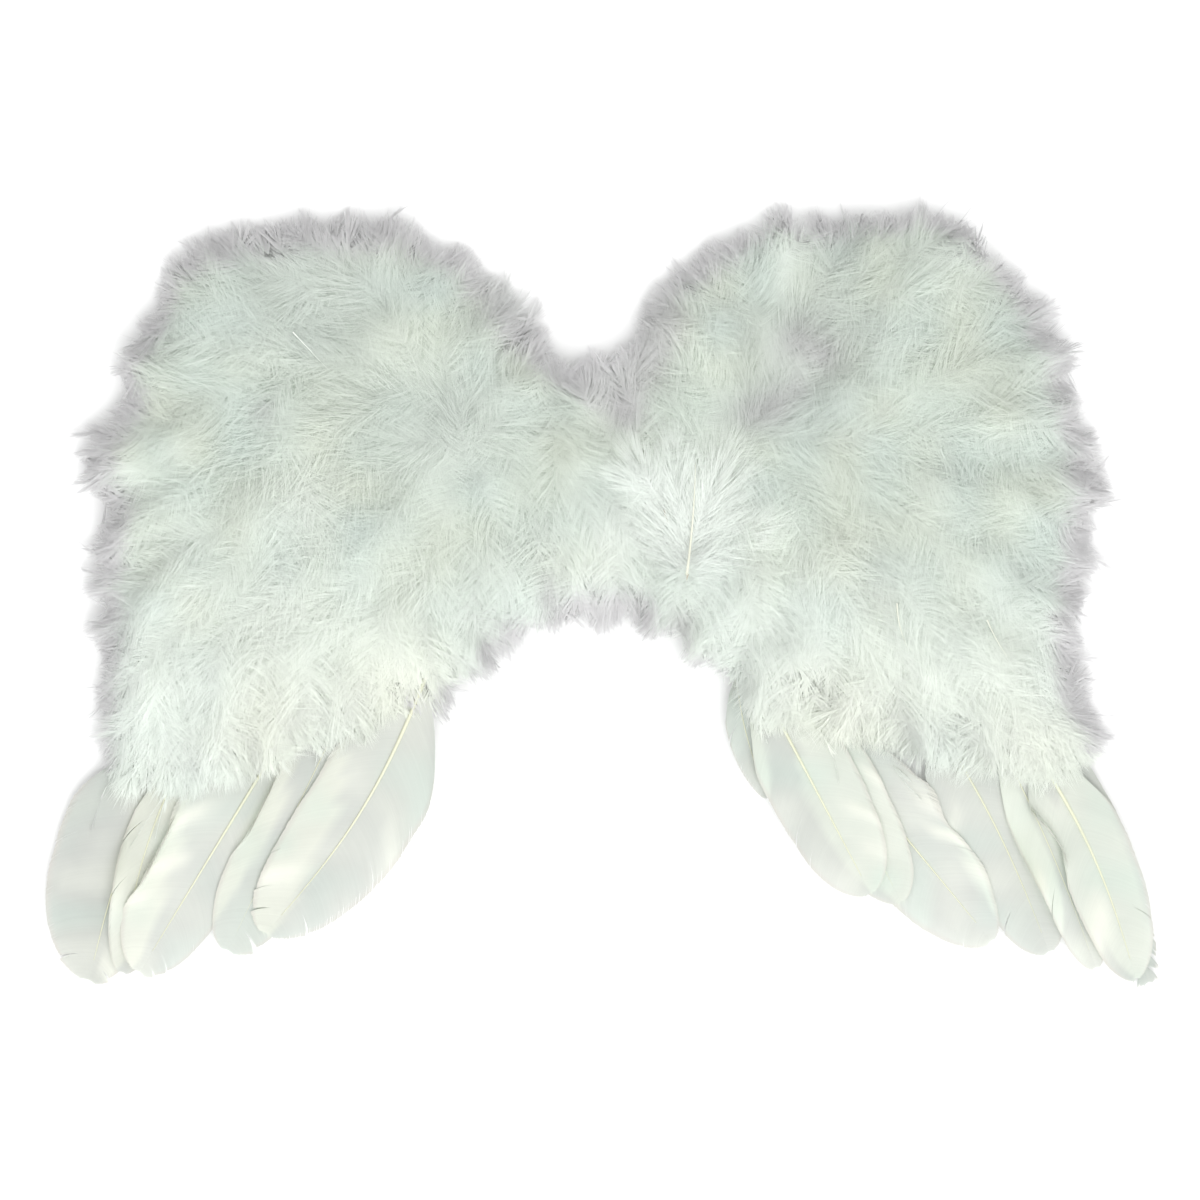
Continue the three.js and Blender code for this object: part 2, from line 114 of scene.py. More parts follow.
# Goose quills.
VANE_BARBS = 190
VANE_STEPS = 7
SHAFT_SIDES = 8
SHAFT_STEPS = 26
SHAFT_THICK = 1.9 * MM
SHAFT_SHARE = 0.92
CURL_BLEND = 0.12
MOST_CURL = 2.9
TWIST_START = 0.25
TWIST_FULL = 0.7
SURFACE_ROWS = 24
SURFACE_INSET = 4 * MM

# The seams between the wings and the down at the centre.
LEFT_SEAM = 21 * MM
RIGHT_SEAM = 20 * MM

# The elastic loops: their middle radius, band and ends on the pad.
LOOP_RADIUS = 58 * MM
LOOP_CENTRE = 88.59 * MM
LOOP_WIDE = 10 * MM
LOOP_THICK = 1.5 * MM
LOOP_ENDS = 44 * MM
LOOP_STEPS = 110
RIBS = 6
RIB_HEIGHT = 0.16 * MM
FIBRE_WIDTH = 0.12 * MM

# The studio.
FLOOR_SIZE = 12
SUN_STRENGTH = 1.7
SUN_SPREAD = 50
SUN_TURN = (32, 12)

DOWN_NODES = ("down_left", "down_right", "down_centre")


# Smooth fields over the plan


class Field:
    """Values on the plan's grid, read between its points."""

    def __init__(self, values):
        self.values = values

    def at(self, x, y):
        u = np.clip((x - FIELD_LOW[0]) / CELL, 0, self.values.shape[0] - 1.001)
        v = np.clip((y - FIELD_LOW[1]) / CELL, 0, self.values.shape[1] - 1.001)
        i, j = u.astype(int), v.astype(int)
        a, b = u - i, v - j
        g = self.values
        low = g[i, j] * (1 - a) + g[i + 1, j] * a
        high = g[i, j + 1] * (1 - a) + g[i + 1, j + 1] * a
        return low * (1 - b) + high * b


def grid_axes():
    nx = int(round((FIELD_HIGH[0] - FIELD_LOW[0]) / CELL)) + 1
    ny = int(round((FIELD_HIGH[1] - FIELD_LOW[1]) / CELL)) + 1
    return FIELD_LOW[0] + CELL * np.arange(nx), FIELD_LOW[1] + CELL * np.arange(ny)


def blurred(values, reach):
    """The grid blurred by a Gaussian of that reach."""
    half = int(3 * reach / CELL) + 1
    kernel = np.exp(-0.5 * (np.arange(-half, half + 1) * CELL / reach) ** 2)
    kernel /= kernel.sum()

    def smoothed(row):
        return np.convolve(np.pad(row, half, "edge"), kernel, "valid")

    for axis in (0, 1):
        values = np.apply_along_axis(smoothed, axis, values)
    return values


def tree_of(names):
    """A search tree of the faces of some CAD nodes."""
    points, faces = [], []
    for name in names:
        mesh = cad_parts[name].data
        start = len(points)
        points += [v.co.copy() for v in mesh.vertices]
        faces += [[start + i for i in p.vertices] for p in mesh.polygons]
    return BVHTree.FromPolygons(points, faces)


def height_under(tree, x, y):
    """The height of the topmost face at a point of the plan, or None."""
    hit = tree.ray_cast(Vector((x, y, RAY_START)), Vector((0, 0, -1)))[0]
    return None if hit is None else hit.z


def heights_over(names):
    """The height of the CAD nodes over each grid point, 0 where there is none."""
    xs, ys = grid_axes()
    tree = tree_of(names)
    found = np.zeros((len(xs), len(ys)))
    for i, x in enumerate(xs):
        for j, y in enumerate(ys):
            height = height_under(tree, x, y)
            if height is not None:
                found[i, j] = height
    return found


def rim_distance(inside):
    """The distance of each grid point from the edge of a mask, positive inside it."""
    edge = np.zeros_like(inside)
    for axis in (0, 1):
        for step in (1, -1):
            edge |= inside & ~np.roll(inside, step, axis)
    rim = np.argwhere(edge) * CELL
    cells = np.argwhere(np.ones_like(inside)) * CELL
    nearest = np.empty(len(cells))
    chunk = 4000
    for start in range(0, len(cells), chunk):
        part = cells[start : start + chunk]
        nearest[start : start + chunk] = np.sqrt(((part[:, None] - rim[None]) ** 2).sum(2).min(1))
    return nearest.reshape(inside.shape) * np.where(inside, 1, -1)


def soft_noise(x, y, cell, seed):
    """Smooth noise from -1 to 1, with features about one cell wide."""
    size = 64
    table = np.random.default_rng(seed).uniform(-1, 1, (size, size))
    u, v = x / cell + size / 2, y / cell + size / 2
    i, j = np.floor(u).astype(int), np.floor(v).astype(int)
    a, b = u - i, v - j
    a, b = a * a * (3 - 2 * a), b * b * (3 - 2 * b)
    i0, j0, i1, j1 = i % size, j % size, (i + 1) % size, (j + 1) % size
    low = table[i0, j0] * (1 - a) + table[i1, j0] * a
    high = table[i0, j1] * (1 - a) + table[i1, j1] * a
    return low * (1 - b) + high * b


def smooth_step(value, low, high):
    t = np.clip((value - low) / (high - low), 0, 1)
    return t * t * (3 - 2 * t)


raw_heights = heights_over(DOWN_NODES)
down_mask = raw_heights > 0
quill_heights = heights_over([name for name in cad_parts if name.startswith("quill_")])
over_quills = blurred(np.where(quill_heights > 0, quill_heights + QUILL_ROOM, GROUND_HEIGHT), 2.5 * MM)
soft_heights = blurred(np.where(down_mask, raw_heights, np.maximum(over_quills, GROUND_HEIGHT)), 3.5 * MM)
HEIGHT = Field(np.maximum(soft_heights, np.where(down_mask, 0, over_quills)))
RIM = Field(rim_distance(down_mask))
smooth_rim = blurred(RIM.values, 4 * MM)
slope_x, slope_y = np.gradient(smooth_rim, CELL)
height_x, height_y = np.gradient(HEIGHT.values, CELL)
SLOPE_X, SLOPE_Y = Field(height_x), Field(height_y)
OUT_X, OUT_Y = Field(-slope_x), Field(-slope_y)


# Named places on the down


@dataclass
class Spot:
    """A place on the down, in millimetres, with its reach."""

    x: float
    y: float
    reach: float
    amount: float


def spots_at(spots, x, y):
    """The summed amounts of some spots at points of the plan."""
    total = np.zeros_like(x)
    for s in spots:
        far = ((x - s.x * MM) ** 2 + (y - s.y * MM) ** 2) / (s.reach * MM) ** 2
        total += s.amount * np.exp(-far)
    return total


# Turns of the down's flow, in degrees.
TURNS = (
    Spot(-160, -4, 26, 40),
    Spot(-122, 62, 18, -35),
    Spot(-138, -12, 22, 60),
    Spot(-88, 80, 26, -25),
    Spot(116, 38, 24, 60),
    Spot(82, 46, 20, 55),
    Spot(150, 0, 30, -20),
)

# Painted shade and painted light on the down: where it is painted darker, above 0, as if in shade, or painted
# brighter, below 0, as where it is lit.
PAINTED_SHADE_AND_LIGHT = (
    Spot(92, 62, 26, 1.0),
    Spot(-72, 13, 30, 0.55),
    Spot(0, -35, 18, -0.6),
    Spot(76, 32, 17, 0.6),
    Spot(-152, 32, 8, 0.45),
    Spot(-128, 62, 10, 0.35),
    Spot(-125, 92, 36, 0.85),
    Spot(-62, 34, 24, 0.5),
    Spot(0, 62, 17, -1.7),
    Spot(-8, -30, 9, 0.2),
    Spot(45, -6, 26, -1.0),
    Spot(12, -16, 22, -0.6),
    Spot(-133, -8, 20, -0.6),
    Spot(-184, -98, 24, -0.6),
    Spot(-190, -20, 22, -0.3),
    Spot(-140, -62, 40, -0.5),
    Spot(70, -60, 30, -0.5),
    Spot(-40, -40, 30, -0.3),
)

# Painted shade in the hollows of the down, as grey as the fringe.
SHADED_HOLLOWS = (
    Spot(88, 66, 9, 0.7),
    Spot(100, 60, 7, 0.7),
    Spot(66, 34, 7, 0.6),
    Spot(78, 37, 8, 0.75),
    Spot(88, 45, 6, 0.6),
    Spot(4, 42, 9, 0.55),
    Spot(12, 33, 8, 0.9),
    Spot(14, 46, 9, 0.5),
    Spot(22, 55, 9, 0.4),
    Spot(27, 68, 8, 0.4),
    Spot(34, 78, 8, 0.3),
    Spot(-22.5, -50, 5, 0.7),
    Spot(-23.5, -41, 4, 0.4),
    Spot(37, -60, 5, 0.6),
    Spot(-150, 35, 5, 0.3),
    Spot(-42, 88, 12, 0.4),
)

# Where the down is creamier.
CREAMS = (
    Spot(-88, -92, 26, 1.0),
    Spot(-150, -110, 26, 0.5),
    Spot(110, -110, 34, 0.6),
    Spot(190, -120, 30, 0.5),
)

# How far the fringe's painted grey shade reaches in, on top of its common reach, in millimetres.
FRINGES = (
    Spot(22, 62, 24, 9),
    Spot(5, 43, 15, 20),
    Spot(224, -98, 16, 10),
    Spot(-130, 122, 40, 7),
    Spot(-60, 70, 24, 3),
    Spot(212, 95, 26, 6),
    Spot(-228, 0, 46, 7),
    Spot(222, -75, 30, 8),
    Spot(230, -20, 30, 5),
    Spot(-60, -70, 34, -5),
    Spot(60, -72, 34, -5),
    Spot(0, -60, 24, 3),
    Spot(-190, -140, 45, -14),
    Spot(-110, -120, 45, -14),
    Spot(120, -125, 50, -14),
    Spot(205, -130, 40, -14),
    Spot(74, -98, 18, -12),
    Spot(150, -131, 20, -10),
)

# Where barbs reach further past the rim, over the quills' roots, in millimetres.
LONGER = (
    Spot(-185, -128, 40, 7),
    Spot(-120, -112, 34, 7),
    Spot(95, -112, 34, 6),
    Spot(150, -124, 36, 7),
    Spot(143, -114, 12, 6),
    Spot(70, -96, 14, 4),
    Spot(205, -126, 36, 6),
)

# Where the fringe's tufts stand out further, above 0, or less far, in millimetres.
TUFTS = (
    Spot(-28, 84, 12, 14),
    Spot(18, 86, 12, 7),
    Spot(0, 64, 14, -2),
    Spot(-95, 128, 12, 4),
    Spot(-155, 125, 12, 3),
    Spot(-189, 112, 12, 7),
    Spot(-201, 92, 12, 4),
    Spot(-214, 63, 14, -5),
    Spot(-232, 27, 12, 6),
    Spot(-228, -9, 10, -6),
    Spot(-235, -31, 8, 6),
    Spot(-228, -54, 10, -6),
    Spot(-27, -63, 12, -4),
    Spot(40, -77, 14, -6),
    Spot(52, -87, 12, -5),
    Spot(180, 108, 12, -4),
    Spot(100, 128, 24, -2),
    Spot(229, 7, 9, 6),
    Spot(225, -31, 9, 4),
    Spot(216, -56, 8, -6),
    Spot(221, -80, 10, 9),
    Spot(229, -117, 10, 5),
)

FRINGE_REACH = 9 * MM
DOWN_COLOUR = np.array((0.832, 0.884, 0.829))
HUE_SHIFT = np.array((0.012, 0.0, -0.016))
# Painted shade: the tone that the down takes where it is painted darker.
PAINTED_SHADE_COLOUR = np.array((0.79, 0.835, 0.795))
# Painted light: the tone that the down takes where it is painted brighter, and towards the bottom.
PAINTED_LIGHT_COLOUR = np.array((0.96, 0.998, 0.958))
CREAM_COLOUR = np.array((0.978, 0.995, 0.925))
# Painted shade: the grey of the down's fringe, as if its rim barbs were in shade.
FRINGE_SHADE_COLOUR = np.array((0.835, 0.832, 0.834))
# Painted shade: the grey of the down's hollows.
HOLLOW_SHADE_COLOUR = np.array((0.735, 0.733, 0.732))
PUFF_COLOUR = np.array((0.97, 1.0, 0.97))


def down_tone(x, y, shift=0.0):
    """The colour of the down over the plan, as linear RGB rows, with painted shade in spots, in hollows and
    at the grey fringe, and painted light in spots and towards the bottom. shift moves the fringe's inner
    edge.
    """
    patch = soft_noise(x, y, 26 * MM, 3) * 0.6 + soft_noise(x, y, 9 * MM, 4) * 0.4
    tone = DOWN_COLOUR * (1 + 0.035 * patch[:, None])
    tone = tone + soft_noise(x, y, 18 * MM, 12)[:, None] * HUE_SHIFT
    # Painted shade and painted light: the down is darker in some spots and brighter in others.
    shade = spots_at(PAINTED_SHADE_AND_LIGHT, x, y)[:, None]
    tone = tone + (PAINTED_SHADE_COLOUR - tone) * np.clip(shade, 0, 1)
    tone = tone + (PAINTED_LIGHT_COLOUR - tone) * np.clip(-shade, 0, 1)
    # Painted light: the down is painted brighter towards the bottom.
    lower = smooth_step(-y, 10 * MM, 90 * MM)[:, None]
    tone = tone + (PAINTED_LIGHT_COLOUR - tone) * 0.8 * lower
    cream = np.clip(spots_at(CREAMS, x, y) + 0.25 * soft_noise(x, y, 30 * MM, 6), 0, 1)[:, None]
    tone = tone + (CREAM_COLOUR - tone) * cream
    # Painted shade: a grey fringe along the rim.
    reach = FRINGE_REACH + spots_at(FRINGES, x, y) * MM + 3 * MM * soft_noise(x, y, 12 * MM, 5)
    depth = RIM.at(x, y) + shift
    grey = 1 - smooth_step(depth, 0.5 * reach, np.maximum(reach, 1 * MM))
    grey = np.where(reach > 1 * MM, grey, 0)[:, None]
    # Painted light: the fringe is lighter where the down is painted brighter.
    fringe = FRINGE_SHADE_COLOUR * (1 + 0.12 * np.clip(-shade, 0, 1))
    # Painted shade: the hollows are painted grey.
    hollow_shade = np.clip(spots_at(SHADED_HOLLOWS, x, y), 0, 1)[:, None]
    tone = tone + (HOLLOW_SHADE_COLOUR - tone) * hollow_shade
    return tone + (fringe - tone) * grey * (1 - hollow_shade)


# Meshes from arrays


def mesh_piece(name, points, quads, triangles, tones, material, normals=None):
    """A mesh object from arrays, with its tone as a colour attribute and a map over the plan."""
    mesh = bpy.data.meshes.new(name)
    mesh.vertices.add(len(points))
    mesh.vertices.foreach_set("co", points.astype(np.float32).ravel())
    corners = np.concatenate([quads.ravel(), triangles.ravel()]).astype(np.int32)
    sizes = np.concatenate([np.full(len(quads), 4), np.full(len(triangles), 3)]).astype(np.int32)
    mesh.loops.add(len(corners))
    mesh.loops.foreach_set("vertex_index", corners)
    mesh.polygons.add(len(sizes))
    mesh.polygons.foreach_set("loop_start", (np.cumsum(sizes) - sizes).astype(np.int32))
    mesh.update(calc_edges=True)
    add_tones(mesh, tones)
    add_plan_map(mesh, points, corners)
    mesh.materials.append(material)
    mesh.validate()
    mesh.shade_smooth()
    if normals is not None:
        mesh.normals_split_custom_set_from_vertices(normals)
    piece = bpy.data.objects.new(name, mesh)
    bpy.context.scene.collection.objects.link(piece)
    return piece


def add_tones(mesh, tones):
    """The tone of each point, as a colour attribute."""
    colours = np.ones((len(tones), 4), np.float32)
    colours[:, :3] = tones
    attribute = mesh.color_attributes.new("Tone", "FLOAT_COLOR", "POINT")
    attribute.data.foreach_set("color", colours.ravel())


def shown_copy(name, node):
    """A shown copy of a CAD node, free of its parent and marks."""
    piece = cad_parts[node].copy()
    piece.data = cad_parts[node].data.copy()
    piece.name = name
    piece.parent = None
    piece.hide_render = False
    piece.hide_viewport = False
    for key in list(piece.keys()):
        del piece[key]
    bpy.context.scene.collection.objects.link(piece)
    return piece


def take_modifiers(piece):
    """Gives the piece the mesh that its modifiers make."""
    graph = bpy.context.evaluated_depsgraph_get()
    made = bpy.data.meshes.new_from_object(piece.evaluated_get(graph))
    piece.modifiers.clear()
    piece.data = made
    made.name = piece.name
    return made


def tube_faces(rings, count):
    """Faces of a tube of rings with that many points each, and of a fan over each end."""
    i, k = np.meshgrid(np.arange(rings - 1), np.arange(count), indexing="ij")
    a, b = i * count + k, i * count + (k + 1) % count
    quads = np.stack([a, b, b + count, a + count], 2).reshape(-1, 4)
    fans = [[s, s + n, s + n + 1] for s in (0, (rings - 1) * count) for n in range(1, count - 1)]
    return quads, np.array(fans)


def add_plan_map(mesh, points, corners):
    """A map that lays the mesh out as it is seen from above."""
    low = points[:, :2].min(0)
    span = (points[:, :2].max(0) - low).max()
    layer = mesh.uv_layers.new(name="OFBake")
    places = 0.01 + 0.98 * (points[:, :2] - low) / span
    layer.data.foreach_set("uv", places[corners].astype(np.float32).ravel())


def ride_as(piece, slot, *nodes):
    """The piece stands for some CAD nodes, which it hides, and rides with the part; slot is not used."""
    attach(piece, "root")
    if nodes:
        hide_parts(*nodes)
    return piece


# Down


def flow_angle(x, y):
    """The direction in which the down lies over the plan, from +X, in radians."""
    side = np.where(x < 0, -1.0, 1.0)
    from_x = x - side * 58 * MM
    from_y = y - 8 * MM
    far = np.hypot(from_x, from_y) + 1e-6
    spread = smooth_step(np.abs(x), 18 * MM, 60 * MM)
    to_x = spread * from_x / far + (1 - spread) * 0.12 * side
    to_y = spread * from_y / far + (1 - spread) * np.where(y > 14 * MM, 0.6, -0.9)
    to_y = to_y - 0.55 * spread
    near = np.exp(-np.maximum(RIM.at(x, y), 0) / (13 * MM))
    to_x = to_x + 2.2 * near * OUT_X.at(x, y)
    to_y = to_y + 2.2 * near * OUT_Y.at(x, y)
    turn = 30 * soft_noise(x, y, 42 * MM, 8) + 22 * soft_noise(x, y, 17 * MM, 9)
    turn = turn * (1 - 0.7 * near) + spots_at(TURNS, x, y)
    return np.arctan2(to_y, to_x) + np.radians(turn)


def scattered_roots(rng):
    """Roots of the plumes: a jittered grid over the down, close enough for the plumes to overlap."""
    xs = np.arange(FIELD_LOW[0], FIELD_HIGH[0], PLUME_SPACING)
    ys = np.arange(FIELD_LOW[1], FIELD_HIGH[1], PLUME_SPACING)
    x, y = (a.ravel() for a in np.meshgrid(xs, ys, indexing="ij"))
    x = x + PLUME_SPACING * rng.uniform(-0.45, 0.45, len(x))
    y = y + PLUME_SPACING * rng.uniform(-0.45, 0.45, len(y))
    inside = RIM.at(x, y) > ROOT_DEPTH
    return x[inside], y[inside]


@dataclass
class Plumes:
    """Arrays with a value for each plume."""

    x: np.ndarray
    y: np.ndarray
    angle: np.ndarray
    length: np.ndarray
    barb: np.ndarray
    lift: np.ndarray
    shade: np.ndarray
    spread: np.ndarray

    def chosen(self, mask):
        return Plumes(*(getattr(self, key)[mask] for key in self.__dataclass_fields__))


def share_inside(x, y, angle, length):
    """The share of each plume's shaft that lies inside the rim."""
    shares = np.linspace(0.2, 1, 17)
    out = np.ones(len(x))
    for share in shares[::-1]:
        reach = length * share
        past = RIM.at(x + reach * np.cos(angle), y + reach * np.sin(angle)) < SHAFT_DEPTH
        out = np.where(past, share, out)
    return out


def down_plumes(rng):
    x, y = scattered_roots(rng)
    count = len(x)
    angle = flow_angle(x, y) + np.radians(rng.normal(0, 13, count))
    depth = RIM.at(x, y)
    near = np.exp(-depth / (16 * MM))
    length = PLUME_LENGTH * rng.uniform(0.75, 1.2, count) * (1 - 0.45 * near)
    x = x - 0.4 * length * np.cos(angle)
    y = y - 0.4 * length * np.sin(angle)
    length = length * share_inside(x, y, angle, length)
    barb = BARB_LENGTH * rng.uniform(0.8, 1.15, count) * (1 - 0.3 * near)
    lift = 1 * MM + 4 * MM * rng.random(count)
    shade = 1 + rng.normal(0, 0.018, count)
    spread = np.full(count, 72.0)
    return Plumes(x, y, angle, length, barb, lift, shade, spread)


def rim_plumes(rng, spacing, nearest, farthest):
    """Small narrow plumes that point outwards in a band along the rim."""
    xs = np.arange(FIELD_LOW[0], FIELD_HIGH[0], spacing)
    ys = np.arange(FIELD_LOW[1], FIELD_HIGH[1], spacing)
    grid = np.meshgrid(xs, ys, indexing="ij")
    x, y = (a.ravel() + spacing * rng.uniform(-0.5, 0.5, a.size) for a in grid)
    depth = RIM.at(x, y)
    near = (depth > nearest) & (depth < farthest)
    x, y = x[near], y[near]
    count = len(x)
    angle = np.arctan2(OUT_Y.at(x, y) - 0.15, OUT_X.at(x, y)) + np.radians(rng.normal(0, 24, count))
    length = rng.uniform(14, 22, count) * MM
    barb = rng.uniform(11, 17, count) * MM
    lift = rng.uniform(-7, 1, count) * MM
    shade = 1 + rng.normal(0, 0.015, count)
    length = length * share_inside(x, y, angle, length)
    return Plumes(x, y, angle, length, barb, lift, shade, np.full(count, 44.0))


def barb_points(plumes, per_plume, rng, draw):
    """Three Bezier points of each barb: its root on the plume's shaft, its bend and its tip."""
    count = len(plumes.x)
    order = np.arange(per_plume)
    side = np.where(order % 2 == 0, 1.0, -1.0)[None, :] * np.ones((count, 1))
    along = (order[None, :] + rng.random((count, per_plume))) / per_plume
    heading = plumes.angle[:, None]
    wisp = wisp_of(per_plume)
    bow = np.radians(rng.normal(0, 18, count))[:, None]
    turn = heading + bow * along
    reach = plumes.length[:, None] * along
    root_x = plumes.x[:, None] + reach * np.cos(heading + 0.5 * bow * along)
    root_y = plumes.y[:, None] + reach * np.sin(heading + 0.5 * bow * along)
    wide = plumes.spread[:, None] + rng.normal(0, 9, (count, 1))
    opening = np.radians(wide * (1 - 0.84 * along**1.2) + rng.normal(0, 6, along.shape))
    opening = opening + np.radians(rng.normal(0, 9, (count, wisp.max() + 1)))[:, wisp]
    length = plumes.barb[:, None] * (0.72 + 0.36 * np.sin(np.pi * along**0.8))
    length = length * rng.uniform(0.78, 1.14, along.shape)
    length = length * rng.uniform(0.8, 1.15, (count, wisp.max() + 1))[:, wisp]
    stray = rng.random(along.shape) < 0.06
    start = turn + side * opening + np.where(stray, np.radians(rng.normal(0, 26, along.shape)), 0)
    settle = rng.uniform(0.2, 0.62, (count, wisp.max() + 1))[:, wisp]
    finish = turn + side * opening * settle + np.radians(rng.normal(0, 9, along.shape))
    bend_x = root_x + 0.48 * length * np.cos(start)
    bend_y = root_y + 0.48 * length * np.sin(start)
    tip_x = bend_x + 0.56 * length * np.cos(finish)
    tip_y = bend_y + 0.56 * length * np.sin(finish)
    tip_x, tip_y, bend_x, bend_y = gathered(tip_x, tip_y, bend_x, bend_y, per_plume, draw)
    return (root_x, root_y), (bend_x, bend_y), (tip_x, tip_y), along, length


def wisp_of(per_plume):
    """The wisp that each barb of a plume belongs to."""
    order = np.arange(per_plume)
    return (order // (2 * WISP)) * 2 + order % 2


def gathered(tip_x, tip_y, bend_x, bend_y, per_plume, draw_range):
    """Draws the tips of neighbouring barbs together into wisps."""
    order = np.arange(per_plume)
    wisp = wisp_of(per_plume)
    members = np.zeros((wisp.max() + 1, per_plume))
    members[wisp, order] = 1
    share = members / members.sum(1, keepdims=True)
    mean_x, mean_y = tip_x @ share.T, tip_y @ share.T
    least, most = draw_range
    draw = least + (most - least) * np.abs(np.sin(GOLDEN * (wisp + 1)))
    tip_x = tip_x + draw * (mean_x[:, wisp] - tip_x)
    tip_y = tip_y + draw * (mean_y[:, wisp] - tip_y)
    middle_x, middle_y = bend_x @ share.T, bend_y @ share.T
    bend_x = bend_x + (0.1 + 0.5 * least) * (middle_x[:, wisp] - bend_x)
    bend_y = bend_y + (0.1 + 0.5 * least) * (middle_y[:, wisp] - bend_y)
    return tip_x, tip_y, bend_x, bend_y


def kept_in(root, bend, tip, spare):
    """Shortens the barbs that would reach too far past the rim, less so in some tufts and wisps."""
    tuft = 0.7 * soft_noise(tip[0], tip[1], 9 * MM, 21) + 0.5 * soft_noise(tip[0], tip[1], 4 * MM, 22)
    allowed = RIM_REACH + TUFT_REACH * np.clip(tuft + 0.12, 0, 1) + spare
    allowed = allowed + (spots_at(LONGER, *tip) + spots_at(TUFTS, *tip)) * MM
    far = np.hypot(tip[0] - root[0], tip[1] - root[1]) + 1e-6
    keep = np.ones_like(far)
    for _ in range(4):
        at = [root[k] + keep * (tip[k] - root[k]) for k in (0, 1)]
        keep = np.clip(keep - np.maximum(-RIM.at(*at) - allowed, 0) / far, 0.08, 1)
    ends = [root[k] + keep * (p[k] - root[k]) for p in (bend, tip) for k in (0, 1)]
    return (ends[0], ends[1]), (ends[2], ends[3])


def ribbon_mesh(root, bend, tip, width, rng):
    """Points and faces of one tapered ribbon along each Bezier, as flat arrays."""
    steps = np.array((0.0, 0.36, 0.72, 1.0))
    shares = np.array((0.8, 1.0, 0.75))
    count = len(root)
    t = steps[None, :, None]
    spine = (1 - t) ** 2 * root[:, None] + 2 * t * (1 - t) * bend[:, None] + t * t * tip[:, None]
    run = np.diff(spine, axis=1)
    run = run / (np.linalg.norm(run, axis=2, keepdims=True) + 1e-9)
    flat = np.stack([-run[..., 1], run[..., 0], np.zeros_like(run[..., 0])], 2)
    flat = flat / (np.linalg.norm(flat, axis=2, keepdims=True) + 1e-9)
    upright = np.cross(run, flat)
    roll = rng.normal(0, 0.35, count)[:, None, None]
    half = 0.5 * width[:, None, None] * shares[None, :, None]
    offset = half * (np.cos(roll) * flat + np.sin(roll) * upright)
    points = np.empty((count, RIBBON_POINTS, 3))
    points[:, 0:6:2] = spine[:, :3] - offset
    points[:, 1:6:2] = spine[:, :3] + offset
    points[:, 6] = spine[:, 3]
    first = RIBBON_POINTS * np.arange(count)[:, None, None]
    quads = first + np.array(((1, 0, 2, 3), (3, 2, 4, 5)))[None]
    triangles = first[:, 0] + np.array((5, 4, 6))[None]
    return points, quads.reshape(-1, 4), triangles, np.repeat(steps[[0, 1, 2]], 2).tolist() + [1.0]


def down_normals(points):
    """The normals of the smooth surface that the barbs lie in, so that they shade as one soft mass."""
    lean = SOFT_LEAN
    x = -lean * SLOPE_X.at(points[:, 0], points[:, 1])
    y = -lean * SLOPE_Y.at(points[:, 0], points[:, 1])
    normals = np.stack([x, y, np.ones_like(x)], 1)
    return normals / np.linalg.norm(normals, axis=1, keepdims=True)


def barbed_piece(name, plumes, per_plume, material, rng, brighten=None, thick=1.0, draw=DRAW, under=False):
    """One mesh of the barbs of some plumes, on the feather side or under it."""
    root, bend, tip, along, length = barb_points(plumes, per_plume, rng, draw)
    wisp = wisp_of(per_plume)
    spare = rng.normal(0, 1.4 * MM, (len(plumes.x), wisp.max() + 1))[:, wisp]
    bend, tip = kept_in(root, bend, tip, spare)
    lift = plumes.lift[:, None]
    root_z = HEIGHT.at(*root) - SOFT_DEPTH + lift * np.sin(np.pi * np.minimum(along + 0.1, 1))
    rise = rng.uniform(0.02, 0.2, along.shape) * length
    fall = rng.normal(0.02, 0.07, along.shape) * length
    bend_z = HEIGHT.at(*bend) - 0.55 * SOFT_DEPTH + lift * 0.6 + rise
    tip_z = HEIGHT.at(*tip) - 0.75 * SOFT_DEPTH + lift * 0.5 - fall
    if under:
        levels = [UNDER_LEVEL + step + UNDER_SCATTER * rng.random(along.shape) for step in UNDER_STEPS]
        root_z, bend_z, tip_z = levels
    ends = ((root, root_z), (bend, bend_z), (tip, tip_z))
    stacks = [np.stack([p[0], p[1], np.maximum(z, LOWEST)], 2).reshape(-1, 3) for p, z in ends]
    width = thick * BARB_WIDTH * rng.uniform(0.75, 1.25, stacks[0].shape[0])
    points, quads, triangles, at = ribbon_mesh(*stacks, width, rng)
    flat_points = points.reshape(-1, 3)
    shift = np.repeat(rng.normal(0, 2.5 * MM, len(points)), points.shape[1])
    tones = down_tone(flat_points[:, 0], flat_points[:, 1], shift).reshape(points.shape)
    shade = np.repeat(plumes.shade, per_plume) * (1 + rng.normal(0, 0.012, len(points)))
    # Painted shade: each barb is darker towards its root, deep in the down.
    root_painted_shade = 0.93 + 0.07 * np.array(at)
    tones = tones * shade[:, None, None] * root_painted_shade[None, :, None]
    if brighten is not None:
        fade = 1 - 0.6 * np.array(at)
        tones = tones + (brighten - tones) * 0.85 * fade[None, :, None]
    tones = np.clip(tones, 0, 1).reshape(-1, 3)
    normals = None if under else down_normals(flat_points)
    return mesh_piece(name, flat_points, quads, triangles, tones, material, normals)


